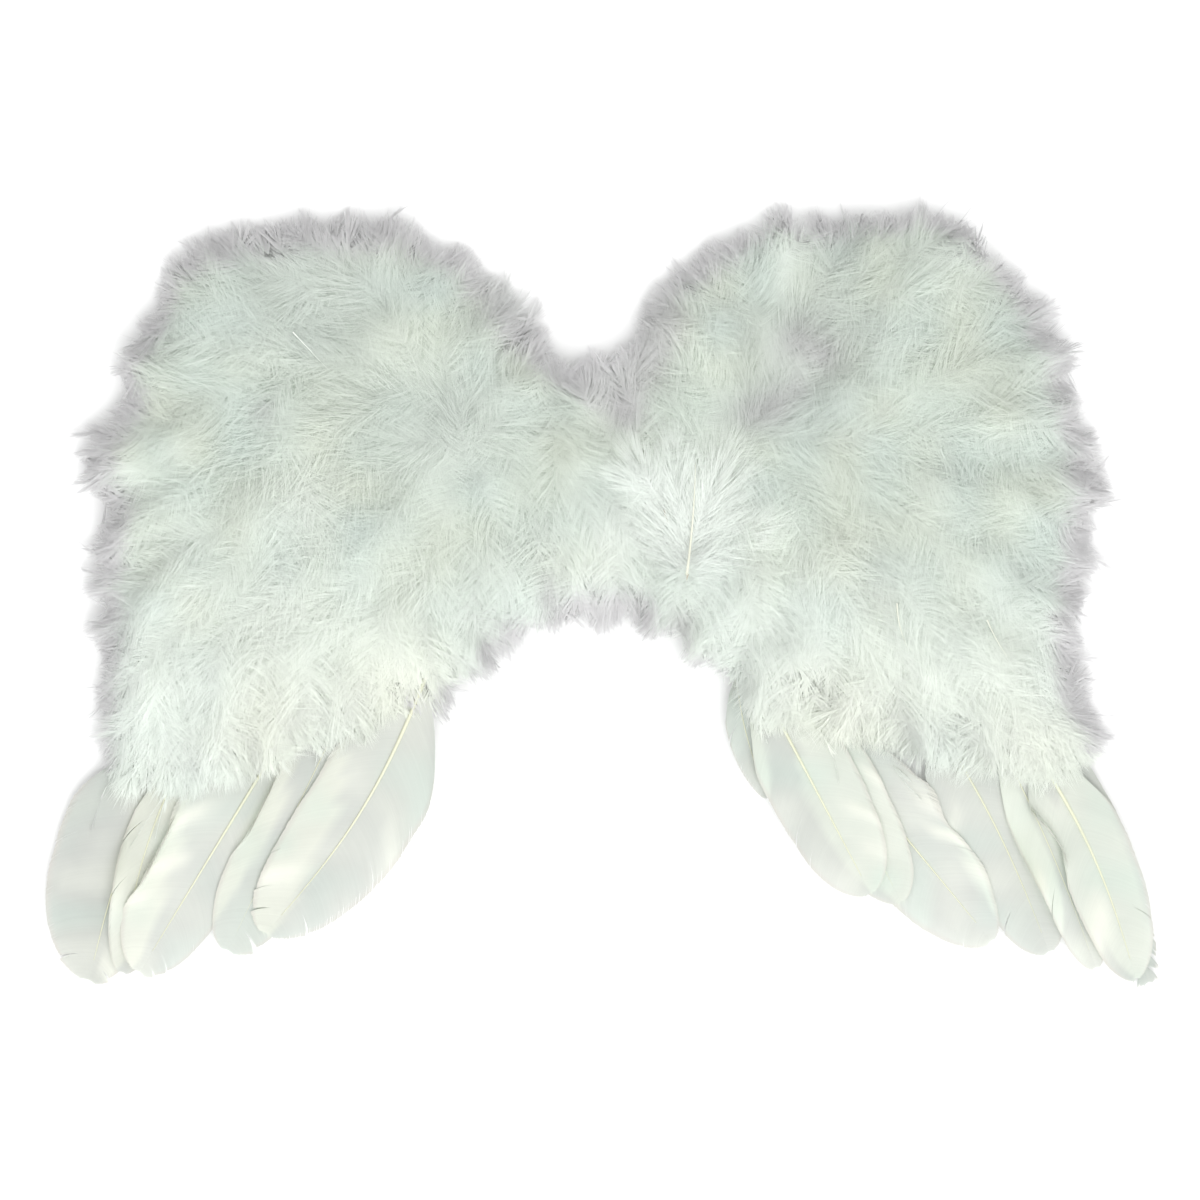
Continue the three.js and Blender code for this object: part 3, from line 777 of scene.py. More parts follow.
def body_piece(name, node, material):
    """The closed body under the barbs: the CAD form drawn in, so that only the barbs reach its outline."""
    piece = shown_copy(name, node)
    remesh = piece.modifiers.new("Remesh", "REMESH")
    remesh.mode = "VOXEL"
    remesh.voxel_size = BODY_VOXEL
    smooth = piece.modifiers.new("Smooth", "SMOOTH")
    smooth.iterations = BODY_SMOOTHING
    made = take_modifiers(piece)
    co = np.empty(len(made.vertices) * 3, np.float32)
    made.vertices.foreach_get("co", co)
    co = co.reshape(-1, 3).astype(float)
    depth = RIM.at(co[:, 0], co[:, 1])
    pull = BODY_PULL * (1 - smooth_step(depth, 0, BODY_PULL_DEPTH))
    co[:, 0] -= pull * OUT_X.at(co[:, 0], co[:, 1])
    co[:, 1] -= pull * OUT_Y.at(co[:, 0], co[:, 1])
    floor = co[:, 2].min()
    seam = LEFT_SEAM if node == "down_left" else RIGHT_SEAM
    if node != "down_centre":
        near = 1 - smooth_step(np.abs(co[:, 0]) - seam, 0, 8 * MM)
        co[:, 0] -= np.sign(co[:, 0]) * SEAM_OVERLAP * near
    above = HEIGHT.at(co[:, 0], co[:, 1])
    share = np.maximum(above - BODY_DEPTH - floor, 1 * MM) / np.maximum(above - floor, 2 * MM)
    co[:, 2] = floor + (np.minimum(co[:, 2], above) - floor) * np.clip(share, 0.3, 1)
    made.vertices.foreach_set("co", co.astype(np.float32).ravel())
    # Painted shade: the body is toned darker than the barbs over it.
    add_tones(made, np.clip(down_tone(co[:, 0], co[:, 1]) * BODY_PAINTED_SHADE, 0, 1))
    for polygon in made.polygons:
        polygon.use_smooth = True
    made.materials.clear()
    made.materials.append(material)
    made.update()
    return piece


# Quills


@dataclass
class Quill:
    """A goose quill: its shaft's ends in the plan and its vane, in millimetres and shares."""

    node: str
    root: tuple
    tip: tuple
    wide: float
    outer: float
    bow: float = 0.0
    blunt: float = 2.6
    fray: float = 0.15
    tone: float = 1.0
    twist: float = 0.0
    splits: tuple = ()
    curls: tuple = ()
    folds: tuple = ()
    waves: tuple = ()
    base: float = 0.28
    shaft: float = 1.0
    raised: float = 0.0


@dataclass
class Wave:
    """A bulge of the vane's edge, or a dent below 0, as a share of the half width."""

    side: int
    at: float
    width: float
    amount: float


@dataclass
class Split:
    """An opening between two barbs. side is 1 on the outer vane, and at a share of the shaft."""

    side: int
    at: float
    gap: float


@dataclass
class Curl:
    """A rolled edge. fold is the share of the half width where it starts."""

    side: int
    start: float
    end: float
    fold: float
    radius: float


@dataclass
class Fold:
    """A raised fold along the barbs, with a painted highlight, from a share of the half width outwards."""

    side: int
    at: float
    width: float
    start: float
    amount: float


QUILLS = (
    Quill("quill_left_1", (-187, -106), (-231, -222), 52, 0.6, bow=0.04, blunt=2.8, tone=0.93,
          splits=(Split(1, 0.9, 2.2), Split(-1, 0.93, 3.0)), folds=(Fold(-1, 0.9, 0.05, 0.1, 0.6),)),
    Quill("quill_left_2", (-185, -115), (-216, -218), 27, 0.42, shaft=0.5, bow=0.05, blunt=2.2,
          twist=25, tone=0.97,
          splits=(Split(1, 0.3, 3), Split(1, 0.55, 2)), folds=(Fold(1, 0.6, 0.1, 0.3, 0.5),)),
    Quill("quill_left_3", (-131, -92), (-208, -218), 45, 0.57, blunt=3.2, tone=1.05,
          splits=(Split(1, 0.72, 1.5), Split(-1, 0.9, 1.5), Split(-1, 0.96, 2)),
          curls=(Curl(1, 0.5, 0.86, 0.8, 1.6),),
          folds=(Fold(1, 0.42, 0.05, 0.2, 0.7), Fold(1, 0.6, 0.04, 0.1, 0.8), Fold(1, 0.72, 0.03, 0.4, 0.6))),
    Quill("quill_left_4", (-113, -95), (-168, -208), 37, 0.48, shaft=0.3, blunt=4.0, tone=1.0,
          splits=(Split(-1, 0.9, 5), Split(1, 0.5, 1.5)), curls=(Curl(1, 0.3, 0.7, 0.7, 2.2),),
          folds=(Fold(-1, 0.5, 0.05, 0.3, 0.5),)),
    Quill("quill_left_5", (-77, -81), (-151, -200), 51, 0.49, bow=-0.055, blunt=2.4, fray=0.3,
          splits=(Split(1, 0.8, 2), Split(1, 0.9, 3), Split(-1, 0.86, 2), Split(-1, 0.55, 1.5)),
          folds=(Fold(1, 0.75, 0.06, 0.1, 0.6), Fold(-1, 0.45, 0.05, 0.3, 0.4))),
    Quill("quill_right_1", (61, -82), (76, -139), 16, 0.5, shaft=0.4, bow=-0.04, blunt=2.0, fray=0.5,
          splits=(Split(-1, 0.35, 2.5), Split(1, 0.5, 2.5))),
    Quill("quill_right_2", (68, -80), (122, -182), 41, 0.5, raised=1.9, blunt=2.8, tone=0.97,
          splits=(Split(-1, 0.55, 1.2),),
          folds=(Fold(1, 0.62, 0.04, 0.2, 0.6), Fold(1, 0.8, 0.04, 0.2, 0.4))),
    Quill("quill_right_3", (86, -90), (136, -186), 34, 0.5, shaft=0.4, raised=-1.5, blunt=2.6, tone=0.97,
          splits=(Split(-1, 0.8, 2),),
          folds=(Fold(-1, 0.5, 0.06, 0.4, 0.8), Fold(1, 0.35, 0.05, 0.4, 0.6))),
    Quill("quill_right_4", (87, -95), (177, -204), 46, 0.45, blunt=2.4, tone=1.06,
          waves=(Wave(1, 0.5, 0.05, 0.12), Wave(1, 0.62, 0.05, -0.1), Wave(1, 0.8, 0.06, 0.06)),
          splits=(Split(1, 0.32, 2), Split(1, 0.6, 1.6), Split(-1, 0.9, 1)),
          folds=(Fold(1, 0.4, 0.05, 0.5, 0.8), Fold(1, 0.55, 0.04, 0.3, 0.7), Fold(1, 0.7, 0.04, 0.5, 0.6))),
    Quill("quill_right_5", (149, -101), (203, -209), 39, 0.48, shaft=0.7, base=0.75, bow=0.03,
          blunt=2.6, tone=1.05,
          splits=(Split(-1, 0.75, 2),), folds=(Fold(1, 0.5, 0.06, 0.2, 0.7), Fold(-1, 0.3, 0.05, 0.3, 0.4))),
    Quill("quill_right_6", (178, -110), (224, -216), 27, 0.5, shaft=0.4, bow=0.02, blunt=2.0,
          twist=-28, tone=1.05,
          splits=(Split(-1, 0.6, 3), Split(1, 0.8, 2)), folds=(Fold(-1, 0.5, 0.06, 0.4, 0.7),)),
    Quill("quill_right_7", (191, -110), (242, -221), 34, 0.52, bow=0.045, blunt=2.6, tone=0.94,
          waves=(Wave(-1, 0.3, 0.07, 0.3), Wave(-1, 0.46, 0.06, -0.12)),
          curls=(Curl(-1, 0.25, 0.6, 0.66, 2.2),), splits=(Split(1, 0.7, 2),),
          folds=(Fold(-1, 0.7, 0.1, 0.0, 0.7),)),
    Quill("quill_right_8", (207, -106), (248, -223), 29, 0.42, shaft=0.4, blunt=2.4, fray=0.9, tone=0.95,
          splits=(Split(1, 0.6, 2), Split(1, 0.75, 4), Split(1, 0.86, 7), Split(-1, 0.88, 6),
                  Split(1, 0.93, 6), Split(-1, 0.95, 4)),
          folds=(Fold(1, 0.5, 0.05, 0.3, 0.4),)),
)

VANE_RISE = 0.19
VANE_FALL = 0.3
VANE_COLOUR = np.array((0.79, 0.81, 0.735))
# Painted shade: the grey of a vane that lies alone.
VANE_SHADE_GREY = np.array((0.655, 0.675, 0.64))
VANE_EDGE = np.array((0.66, 0.62, 0.58))
PALE_SHAFT = np.array((0.90, 0.91, 0.80))
# The pale tone of the vanes' random patches, and the painted highlight on their folds.
FOLD_HIGHLIGHT_AND_PALE_PATCH = np.array((0.93, 0.94, 0.86))
SHAFT_COLOUR = np.array((0.90, 0.905, 0.73))
RIGHT_CAST = np.array((0.99, 1.012, 1.02))
COOL_CAST = np.array((-0.03, 0.004, 0.0))


def quill_line(quill):
    """The quill's spine: its point, its tangent and the direction outwards at shares of its length."""
    root, tip = (np.array(p) * MM for p in (quill.root, quill.tip))
    run = tip - root
    length = np.hypot(*run)
    side = -1.0 if quill.root[0] < 0 else 1.0
    outwards = np.array((-run[1], run[0])) / length
    outwards = outwards * (1.0 if outwards[0] * side > 0 else -1.0)

    def line(share):
        bow = quill.bow * length * np.sin(np.pi * share)
        return root + share[..., None] * run + bow[..., None] * outwards

    return line, run / length, outwards, length


def vane_half(end, wide, share, blunt, base):
    """The half width of the vane where a barb ends."""
    rise = base + (1 - base) * smooth_step(end, 0.02, 0.42)
    v = np.clip((end - 0.5) / 0.5, 0, 1)
    return wide * MM * share * rise * np.sqrt(np.maximum(1 - v**blunt, 0))


def vane_cover(places, own):
    """How far the vanes of other quills lie over or under points of the plan, from 0 to 1."""
    total = np.zeros(places.shape[:-1])
    for quill in QUILLS:
        if quill.node == own.node or quill.root[0] * own.root[0] < 0:
            continue
        line, run, outwards, length = quill_line(quill)
        away = places - line(np.array([0.0]))[0]
        share = np.clip(away @ run / length, 0, 1)
        across = ((places - line(share)) * outwards).sum(-1)
        for side, part in ((1, quill.outer), (-1, 1 - quill.outer)):
            half = vane_half(share, quill.wide, part, quill.blunt, quill.base)
            within = smooth_step(half - side * across, 0, 3 * MM) * (side * across > 0)
            total = total + within * (away @ run < length)
    return np.clip(total, 0, 1)


def bump(along, at, width):
    """1 at a place along the vane, falling to 0 on both sides."""
    return np.exp(-(((along - at) / width) ** 2))


def vane_arrays(quill, side, surface, rng):
    """Ribbons of one side of a vane, each a row of cross lines from the shaft to the edge."""
    line, run, outwards, length = quill_line(quill)
    share = quill.outer if side > 0 else 1 - quill.outer
    start = np.linspace(0.05, 0.99, VANE_BARBS)
    end = np.minimum(start + VANE_RISE * (1 - np.exp(-(1 - start) / VANE_FALL)), 0.999)
    u = np.linspace(0, 1, VANE_STEPS)[None, :]
    half = vane_half(end, quill.wide, share, quill.blunt, quill.base)[:, None]
    uneven = soft_noise(end * 0.1, end * 0, 0.01, int(quill.wide))[:, None]
    half = half * (1 + 0.005 * rng.normal(0, 1, half.shape)) + 0.0004 * uneven
    for wave in quill.waves:
        if wave.side == side:
            half = half * (1 + wave.amount * bump(end, wave.at, wave.width))[:, None]
    across = half * (1 - (1 - u) ** 1.3)
    along = start[:, None] + (end - start)[:, None] * u**1.2
    for split in quill.splits:
        if split.side == side:
            away = start - split.at
            push = np.where(away > 0, 1, -1) * np.exp(-np.abs(away) / 0.035) * 0.4 * split.gap * MM / length
            along = along + push[:, None] * u**1.6
    along = along + quill.fray * 0.004 * rng.normal(0, 1, (VANE_BARBS, 1)) * u**3
    lift = 0.9 * MM * np.sin(np.pi * 0.5 * u) * (half / (22 * MM)) - 0.8 * MM * u**2 * (half / (22 * MM))
    lift = lift + 0.3 * MM * soft_noise(start * 0.1, start * 0, 0.008, 40 + int(side))[:, None] * u
    for curl in quill.curls:
        if curl.side == side:
            closing = 1 - smooth_step(end, curl.end - CURL_BLEND, curl.end)
            window = (smooth_step(end, curl.start, curl.start + CURL_BLEND) * closing)[:, None]
            radius = curl.radius * MM
            past = np.maximum(across - curl.fold * half, 0)
            angle = np.minimum(past / radius, MOST_CURL)
            folded = curl.fold * half + radius * np.sin(angle)
            across = np.where(past > 0, across + window * (folded - across), across)
            lift = lift + window * radius * (1 - np.cos(angle)) * (past > 0)
    for fold in quill.folds:
        if fold.side == side:
            ridge = bump(start[:, None], fold.at, fold.width)
            lift = lift + fold.amount * 1.2 * MM * ridge * smooth_step(u, fold.start, 1.0)
    pitch = (start[1] - start[0]) * 0.85
    centre = line(along)
    turn = np.radians(quill.twist) * smooth_step(along, TWIST_START, TWIST_FULL)
    turn = turn * np.sin(np.pi * np.clip((along - TWIST_START) / (1 - TWIST_START), 0, 1))
    z = surface(centre) + lift + side * across * np.sin(turn) + (0.25 + quill.raised) * MM
    flat = across * np.cos(turn)
    rails = []
    for step, drop in ((-pitch, 0.0), (pitch, -0.09 * MM)):
        taper = 1 - 0.12 * u**4
        place = centre + side * flat[..., None] * outwards + (step * taper * length)[..., None] * run
        rails.append(np.concatenate([place, (z + drop)[..., None]], 2))
    colours = vane_colours(quill, side, start, u, centre + side * across[..., None] * outwards, rng)
    tones = np.repeat(colours, 2, axis=1).reshape(-1, 3)
    return np.stack(rails, 2).reshape(-1, 3), strip_quads(VANE_BARBS, VANE_STEPS), tones


def vane_colours(quill, side, start, u, places, rng):
    """The colour at each step of each barb: painted grey where the vane lies alone and creamy where other
    vanes lie over or under it, with patches, painted highlights on the folds and a darker edge.
    """
    tone = VANE_COLOUR * quill.tone
    if quill.root[0] > 0:
        tone = tone * RIGHT_CAST
    streak = (0.5 + 0.5 * soft_noise(start * 0.1, start * 0, 0.01, int(quill.wide) + 7))[:, None, None]
    # Painted shade and painted light: a vane alone is painted grey and one that other vanes lie over or under
    # creamy, with random streaks.
    grey = 1 - 0.85 * vane_cover(places, quill)[..., None] - 0.3 * streak
    colours = tone + (VANE_SHADE_GREY * quill.tone - tone) * np.clip(grey, 0, 1)
    patch = soft_noise(places[..., 0], places[..., 1], 16 * MM, int(quill.wide) + 3)[..., None]
    colours = colours + COOL_CAST * np.clip(patch, 0, 1)
    colours = colours + (FOLD_HIGHLIGHT_AND_PALE_PATCH - colours) * 0.3 * np.clip(-patch, 0, 1)
    # Painted highlight: the folds are painted brighter along their ridges.
    for fold in quill.folds:
        if fold.side == side:
            ridge = bump(start[:, None], fold.at, fold.width)
            ridge = ridge * smooth_step(u, fold.start, fold.start + 0.3)
            colours = colours + (FOLD_HIGHLIGHT_AND_PALE_PATCH - colours) * (fold.amount * ridge)[..., None]
    colours = colours + (VANE_EDGE - colours) * 0.5 * smooth_step(u, 0.93, 1.0)[..., None]
    return colours * (1 + 0.008 * rng.normal(0, 1, (VANE_BARBS, 1, 1)))


def strip_quads(count, steps):
    """Faces of ribbons of two rails with that many steps."""
    first = (2 * steps * np.arange(count))[:, None, None]
    along = (2 * np.arange(steps - 1))[None, :, None]
    return (first + along + np.array((0, 1, 3, 2))[None, None]).reshape(-1, 4)


def shaft_arrays(line, thick, surface, steps=SHAFT_STEPS):
    """A tapered shaft of round section along a line of the plan."""
    share = np.linspace(0, 1, steps)
    centre = line(share)
    radius = 0.5 * thick * (1 - 0.88 * share)
    run = np.gradient(centre, axis=0)
    run = run / np.linalg.norm(run, axis=1, keepdims=True)
    sideways = np.stack([-run[:, 1], run[:, 0]], 1)
    turn = 2 * np.pi * np.arange(SHAFT_SIDES) / SHAFT_SIDES
    plan = centre[:, None] + (radius[:, None] * np.cos(turn))[..., None] * sideways[:, None]
    z = (surface(centre) + 0.25 * MM + 0.5 * radius)[:, None] + radius[:, None] * np.sin(turn)[None]
    points = np.concatenate([plan, z[..., None]], 2).reshape(-1, 3)
    return points, *tube_faces(steps, SHAFT_SIDES)


def quill_surface(node):
    """The height of a CAD quill's vane along its spine, as a smooth function of the plan."""
    tree = tree_of((node,))
    low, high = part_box(node)

    def over(places):
        flat = places.reshape(-1, 2)
        rows = np.linspace(high.y - SURFACE_INSET, low.y + SURFACE_INSET, SURFACE_ROWS)
        spots = []
        for y in rows:
            row = [height_under(tree, x, y) for x in np.linspace(low.x, high.x, SURFACE_ROWS)]
            found = [height for height in row if height is not None]
            spots.append(np.median(found) if found else np.nan)
        spots = np.array(spots)
        good = ~np.isnan(spots)
        return np.interp(-flat[:, 1], -rows[good], spots[good]).reshape(places.shape[:-1])

    return over


def quill_piece(quill, material, rng):
    surface = quill_surface(quill.node)
    line = quill_line(quill)[0]
    parts = [vane_arrays(quill, side, surface, rng) for side in (1, -1)]

    def bare_line(share):
        return line(SHAFT_SHARE * share)

    def raised(places):
        return surface(places) + quill.raised * MM

    shaft = shaft_arrays(bare_line, SHAFT_THICK * quill.shaft, raised)
    points = [p for p, _, _ in parts] + [shaft[0]]
    offset = np.cumsum([0] + [len(p) for p in points])
    quads = np.concatenate([parts[0][1], parts[1][1] + offset[1], shaft[1] + offset[2]])
    tones = np.concatenate([parts[0][2], parts[1][2], np.tile(SHAFT_COLOUR, (len(shaft[0]), 1))])
    triangles = shaft[2] + offset[2]
    tones = np.clip(tones, 0, 1)
    return mesh_piece(quill.node + "_feather", np.concatenate(points), quads, triangles, tones, material)


# Felt and elastic


def plain_copy(name, node):
    """A shown copy of a CAD node with its edges rounded."""
    piece = shown_copy(name, node)
    bevel = piece.modifiers.new("Bevel", "BEVEL")
    bevel.width = 0.6 * MM
    bevel.segments = 3
    bevel.angle_limit = math.radians(50)
    take_modifiers(piece)
    return piece


def surface_points(piece, count, rng):
    """Points scattered evenly over a mesh, with the normals there."""
    mesh = piece.data
    mesh.calc_loop_triangles()
    corners = np.array([[mesh.vertices[i].co[:] for i in t.vertices] for t in mesh.loop_triangles])
    normals = np.cross(corners[:, 1] - corners[:, 0], corners[:, 2] - corners[:, 0])
    area = np.linalg.norm(normals, axis=1)
    chosen = rng.choice(len(corners), count, p=area / area.sum())
    a, b = rng.random(count), rng.random(count)
    a, b = np.where(a + b > 1, 1 - a, a), np.where(a + b > 1, 1 - b, b)
    c = corners[chosen]
    spots = c[:, 0] + a[:, None] * (c[:, 1] - c[:, 0]) + b[:, None] * (c[:, 2] - c[:, 0])
    return spots, normals[chosen] / area[chosen, None]


def felt_fuzz(name, piece, count, material, rng):
    """Short fibres that lie matted on a felt surface."""
    spots, normals = surface_points(piece, count, rng)
    turn = rng.uniform(0, 2 * np.pi, count)
    sideways = np.cross(normals, np.array((0.31, 0.55, 0.77)))
    sideways /= np.linalg.norm(sideways, axis=1, keepdims=True)
    other = np.cross(normals, sideways)
    heading = np.cos(turn)[:, None] * sideways + np.sin(turn)[:, None] * other
    length = rng.uniform(1.2, 3.0, count)[:, None] * MM
    lift = np.clip(rng.normal(0.12, 0.1, count), 0.02, 0.5)[:, None] * MM
    root = spots - 0.05 * MM * normals
    bend = spots + 0.5 * length * heading + lift * normals
    curl = np.cross(normals, heading) * rng.normal(0, 0.35, count)[:, None]
    tip = spots + length * (heading + curl) + 0.3 * lift * normals
    for part in (root, bend, tip):
        part[:, 2] = np.maximum(part[:, 2], 0)
    width = FIBRE_WIDTH * rng.uniform(0.7, 1.3, count)
    points, quads, triangles, _ = ribbon_mesh(root, bend, tip, width, rng)
    flat = points.reshape(-1, 3)
    shade = np.repeat(rng.uniform(0.9, 1.04, count), RIBBON_POINTS)
    tones = np.tile(FELT_COLOUR, (len(flat), 1)) * shade[:, None]
    return mesh_piece(name, flat, quads, triangles, np.clip(tones, 0, 1), material)


def band_arrays(side):
    """The ribbed elastic loop on one side: rings of its section, swept round."""
    half_gap = math.asin(LOOP_ENDS / 2 / LOOP_RADIUS)
    angle = np.linspace(half_gap - np.pi, np.pi - half_gap, LOOP_STEPS)
    across = np.linspace(-0.5, 0.5, 3 * RIBS + 1)
    rib = RIB_HEIGHT * np.abs(np.sin(np.pi * RIBS * (across + 0.5)))
    edge = 0.35 * LOOP_THICK * (1 - np.sqrt(np.maximum(1 - (2 * across) ** 8, 0)))
    top = np.stack([across * LOOP_WIDE, LOOP_THICK - RIB_HEIGHT + rib - edge], 1)
    bottom = np.stack([across[::-1] * LOOP_WIDE, RIB_HEIGHT - rib + edge], 1)
    section = np.concatenate([top, bottom])
    weave = 0.05 * MM * np.sin(np.arange(LOOP_STEPS) * 2.1)
    radius = LOOP_RADIUS + section[None, :, 0] + 0.15 * weave[:, None]
    x = side * (LOOP_CENTRE + radius * np.cos(angle)[:, None])
    y = radius * np.sin(angle)[:, None]
    z = np.clip(section[None, :, 1] + np.zeros_like(x), 0, LOOP_THICK)
    points = np.stack([x, y, z], 2).reshape(-1, 3)
    quads, triangles = tube_faces(LOOP_STEPS, len(section))
    if side > 0:
        quads = quads[:, ::-1]
    # Painted shade: the elastic is toned darker in the grooves between its ribs.
    rib_painted_shade = 0.93 + 0.07 * rib / rib.max()
    tone = np.tile(np.concatenate([rib_painted_shade, rib_painted_shade]), LOOP_STEPS)[:, None] * ELASTIC_COLOUR
    return points, quads, triangles, tone


FELT_COLOUR = np.array((0.86, 0.87, 0.85))
ELASTIC_COLOUR = np.array((0.88, 0.88, 0.86))


@dataclass
class Felt:
    """A flat piece of felt: the width and length it was cut to, in millimetres, and the share it fills, which
    are not used.
    """

    node: str
    fibres: int
    wide: float
    long: float
    filled: float
    rests_on: tuple = ("back_pad",)


FELTS = (
    Felt("felt_backing_left", 4000, 203.8, 210.2, 0.7),
    Felt("felt_backing_right", 4000, 196.7, 210.2, 0.7),
    Felt("back_pad", 1200, 60, 76, 0.972, rests_on=()),
)


def build_hidden_side(rng):
    """The felt backings and pad, and the elastic loops, behind the down."""
    for felt in FELTS:
        piece = plain_copy(felt.node + "_felt", felt.node)
        piece.data.materials.clear()
        piece.data.materials.append(felt_material)
        ride_as(piece, "felt", felt.node)
        fuzz = felt_fuzz(felt.node + "_fuzz", piece, felt.fibres, down_material, rng)
        ride_as(fuzz, "felt", felt.node)
    for side, node in ((-1, "shoulder_strap_left"), (1, "shoulder_strap_right")):
        points, quads, triangles, tones = band_arrays(side)
        band = mesh_piece(node + "_band", points, quads, triangles, tones, elastic_material)
        ride_as(band, "elastic", node)


# Materials


def tone_material(name, roughness, sheen, through, grain, depth):
    """A soft surface that takes its colour from the tone, with a fine grain, and lets some light through."""
    material = bpy.data.materials.new(name)
    material.use_nodes = True
    nodes, links = material.node_tree.nodes, material.node_tree.links
    nodes.clear()
    output = nodes.new("ShaderNodeOutputMaterial")
    tone = nodes.new("ShaderNodeAttribute")
    tone.attribute_name = "Tone"
    place = nodes.new("ShaderNodeTexCoord")
    noise = nodes.new("ShaderNodeTexNoise")
    noise.inputs["Scale"].default_value = grain
    noise.inputs["Detail"].default_value = 4
    links.new(place.outputs["Object"], noise.inputs["Vector"])
    spread = nodes.new("ShaderNodeMapRange")
    spread.inputs["To Min"].default_value = 1 - depth
    spread.inputs["To Max"].default_value = 1 + depth
    links.new(noise.outputs["Fac"], spread.inputs["Value"])
    colour = nodes.new("ShaderNodeVectorMath")
    colour.operation = "SCALE"
    links.new(tone.outputs["Color"], colour.inputs[0])
    links.new(spread.outputs["Result"], colour.inputs["Scale"])
    shader = nodes.new("ShaderNodeBsdfPrincipled")
    shader.inputs["Roughness"].default_value = roughness
    shader.inputs["Sheen Weight"].default_value = sheen
    shader.inputs["Specular IOR Level"].default_value = 0.2
    links.new(colour.outputs["Vector"], shader.inputs["Base Color"])
    glow = nodes.new("ShaderNodeBsdfTranslucent")
    links.new(colour.outputs["Vector"], glow.inputs["Color"])
    mix = nodes.new("ShaderNodeMixShader")
    mix.inputs["Fac"].default_value = through
    links.new(shader.outputs["BSDF"], mix.inputs[1])
    links.new(glow.outputs["BSDF"], mix.inputs[2])
    links.new(mix.outputs["Shader"], output.inputs["Surface"])
    return material


def pale_material(name, colour, roughness):
    material = bpy.data.materials.new(name)
    material.use_nodes = True
    shader = material.node_tree.nodes["Principled BSDF"]
    shader.inputs["Base Color"].default_value = (*colour, 1)
    shader.inputs["Roughness"].default_value = roughness
    return material


down_material = tone_material("marabou down", 0.9, 0.2, 0.4, 220, 0.05)
body_material = tone_material("down base", 0.95, 0.2, 0.0, 300, 0.08)
elastic_material = tone_material("ribbed elastic", 0.75, 0.1, 0.0, 1800, 0.1)
quill_material = tone_material("goose quill", 0.5, 0.1, 0.3, 90, 0.03)


def felt_look():
    """Matted white felt: mottled by fibres at two sizes, with a fine bump."""
    material = bpy.data.materials.new("matted felt")
    material.use_nodes = True
    nodes, links = material.node_tree.nodes, material.node_tree.links
    shader = nodes["Principled BSDF"]
    shader.inputs["Roughness"].default_value = 0.95
    shader.inputs["Sheen Weight"].default_value = 0.3
    shader.inputs["Specular IOR Level"].default_value = 0.1
    place = nodes.new("ShaderNodeTexCoord")
    fibres = nodes.new("ShaderNodeTexNoise")
    fibres.inputs["Scale"].default_value = 700
    fibres.inputs["Detail"].default_value = 6
    fibres.inputs["Distortion"].default_value = 1.5
    links.new(place.outputs["Object"], fibres.inputs["Vector"])
    ramp = nodes.new("ShaderNodeValToRGB")
    ramp.color_ramp.elements[0].position = 0.3
    ramp.color_ramp.elements[0].color = (0.76, 0.77, 0.75, 1)
    ramp.color_ramp.elements[1].position = 0.7
    ramp.color_ramp.elements[1].color = (0.90, 0.91, 0.89, 1)
    links.new(fibres.outputs["Fac"], ramp.inputs["Fac"])
    links.new(ramp.outputs["Color"], shader.inputs["Base Color"])
    bump = nodes.new("ShaderNodeBump")
    bump.inputs["Strength"].default_value = 0.5
    bump.inputs["Distance"].default_value = 0.3 * MM
    links.new(fibres.outputs["Fac"], bump.inputs["Height"])
    links.new(bump.outputs["Normal"], shader.inputs["Normal"])
    return material


felt_material = felt_look()


# Assembly


def cover_plumes(rng):
    """Fine plumes that comb down over the roots of the quills."""
    plumes = rim_plumes(rng, COVER_SPACING, 5 * MM, 32 * MM)
    plumes = plumes.chosen(spots_at(LONGER, plumes.x, plumes.y) > 2.5)
    count = len(plumes.x)
    plumes.angle = plumes.angle + 0.5 * np.sin(np.radians(-90) - plumes.angle)
    plumes.angle = plumes.angle + np.radians(rng.normal(0, 10, count))
    plumes.length = rng.uniform(24, 34, count) * MM
    plumes.length = plumes.length * share_inside(plumes.x, plumes.y, plumes.angle, plumes.length)
    plumes.barb = rng.uniform(18, 24, count) * MM
    plumes.lift = rng.uniform(1, 4, count) * MM
    plumes.spread = rng.uniform(38, 62, count)
    return plumes


@dataclass
class Strand:
    """A loose wisp of barbs: its root in millimetres, its heading in degrees and its lengths."""

    x: float
    y: float
    turn: float
    length: float
    barb: float


FINE_SHAFTS = (
    ("brown_calamus", (28.5, -9.5), (31.2, -16.5), 1.0, (0.55, 0.49, 0.38)),
    ("plume_calamus", (39.2, -38.0), (38.7, -41.0), 1.0, (0.62, 0.57, 0.46)),
    ("fine_shaft_1", (132, -51), (137, -71), 0.7, (0.86, 0.87, 0.78)),
    ("fine_shaft_2", (172.5, -58.5), (181.5, -75), 0.7, (0.86, 0.87, 0.78)),
    ("fine_shaft_3", (-137, 70), (-121, 53), 0.6, (0.95, 0.97, 0.93)),
)

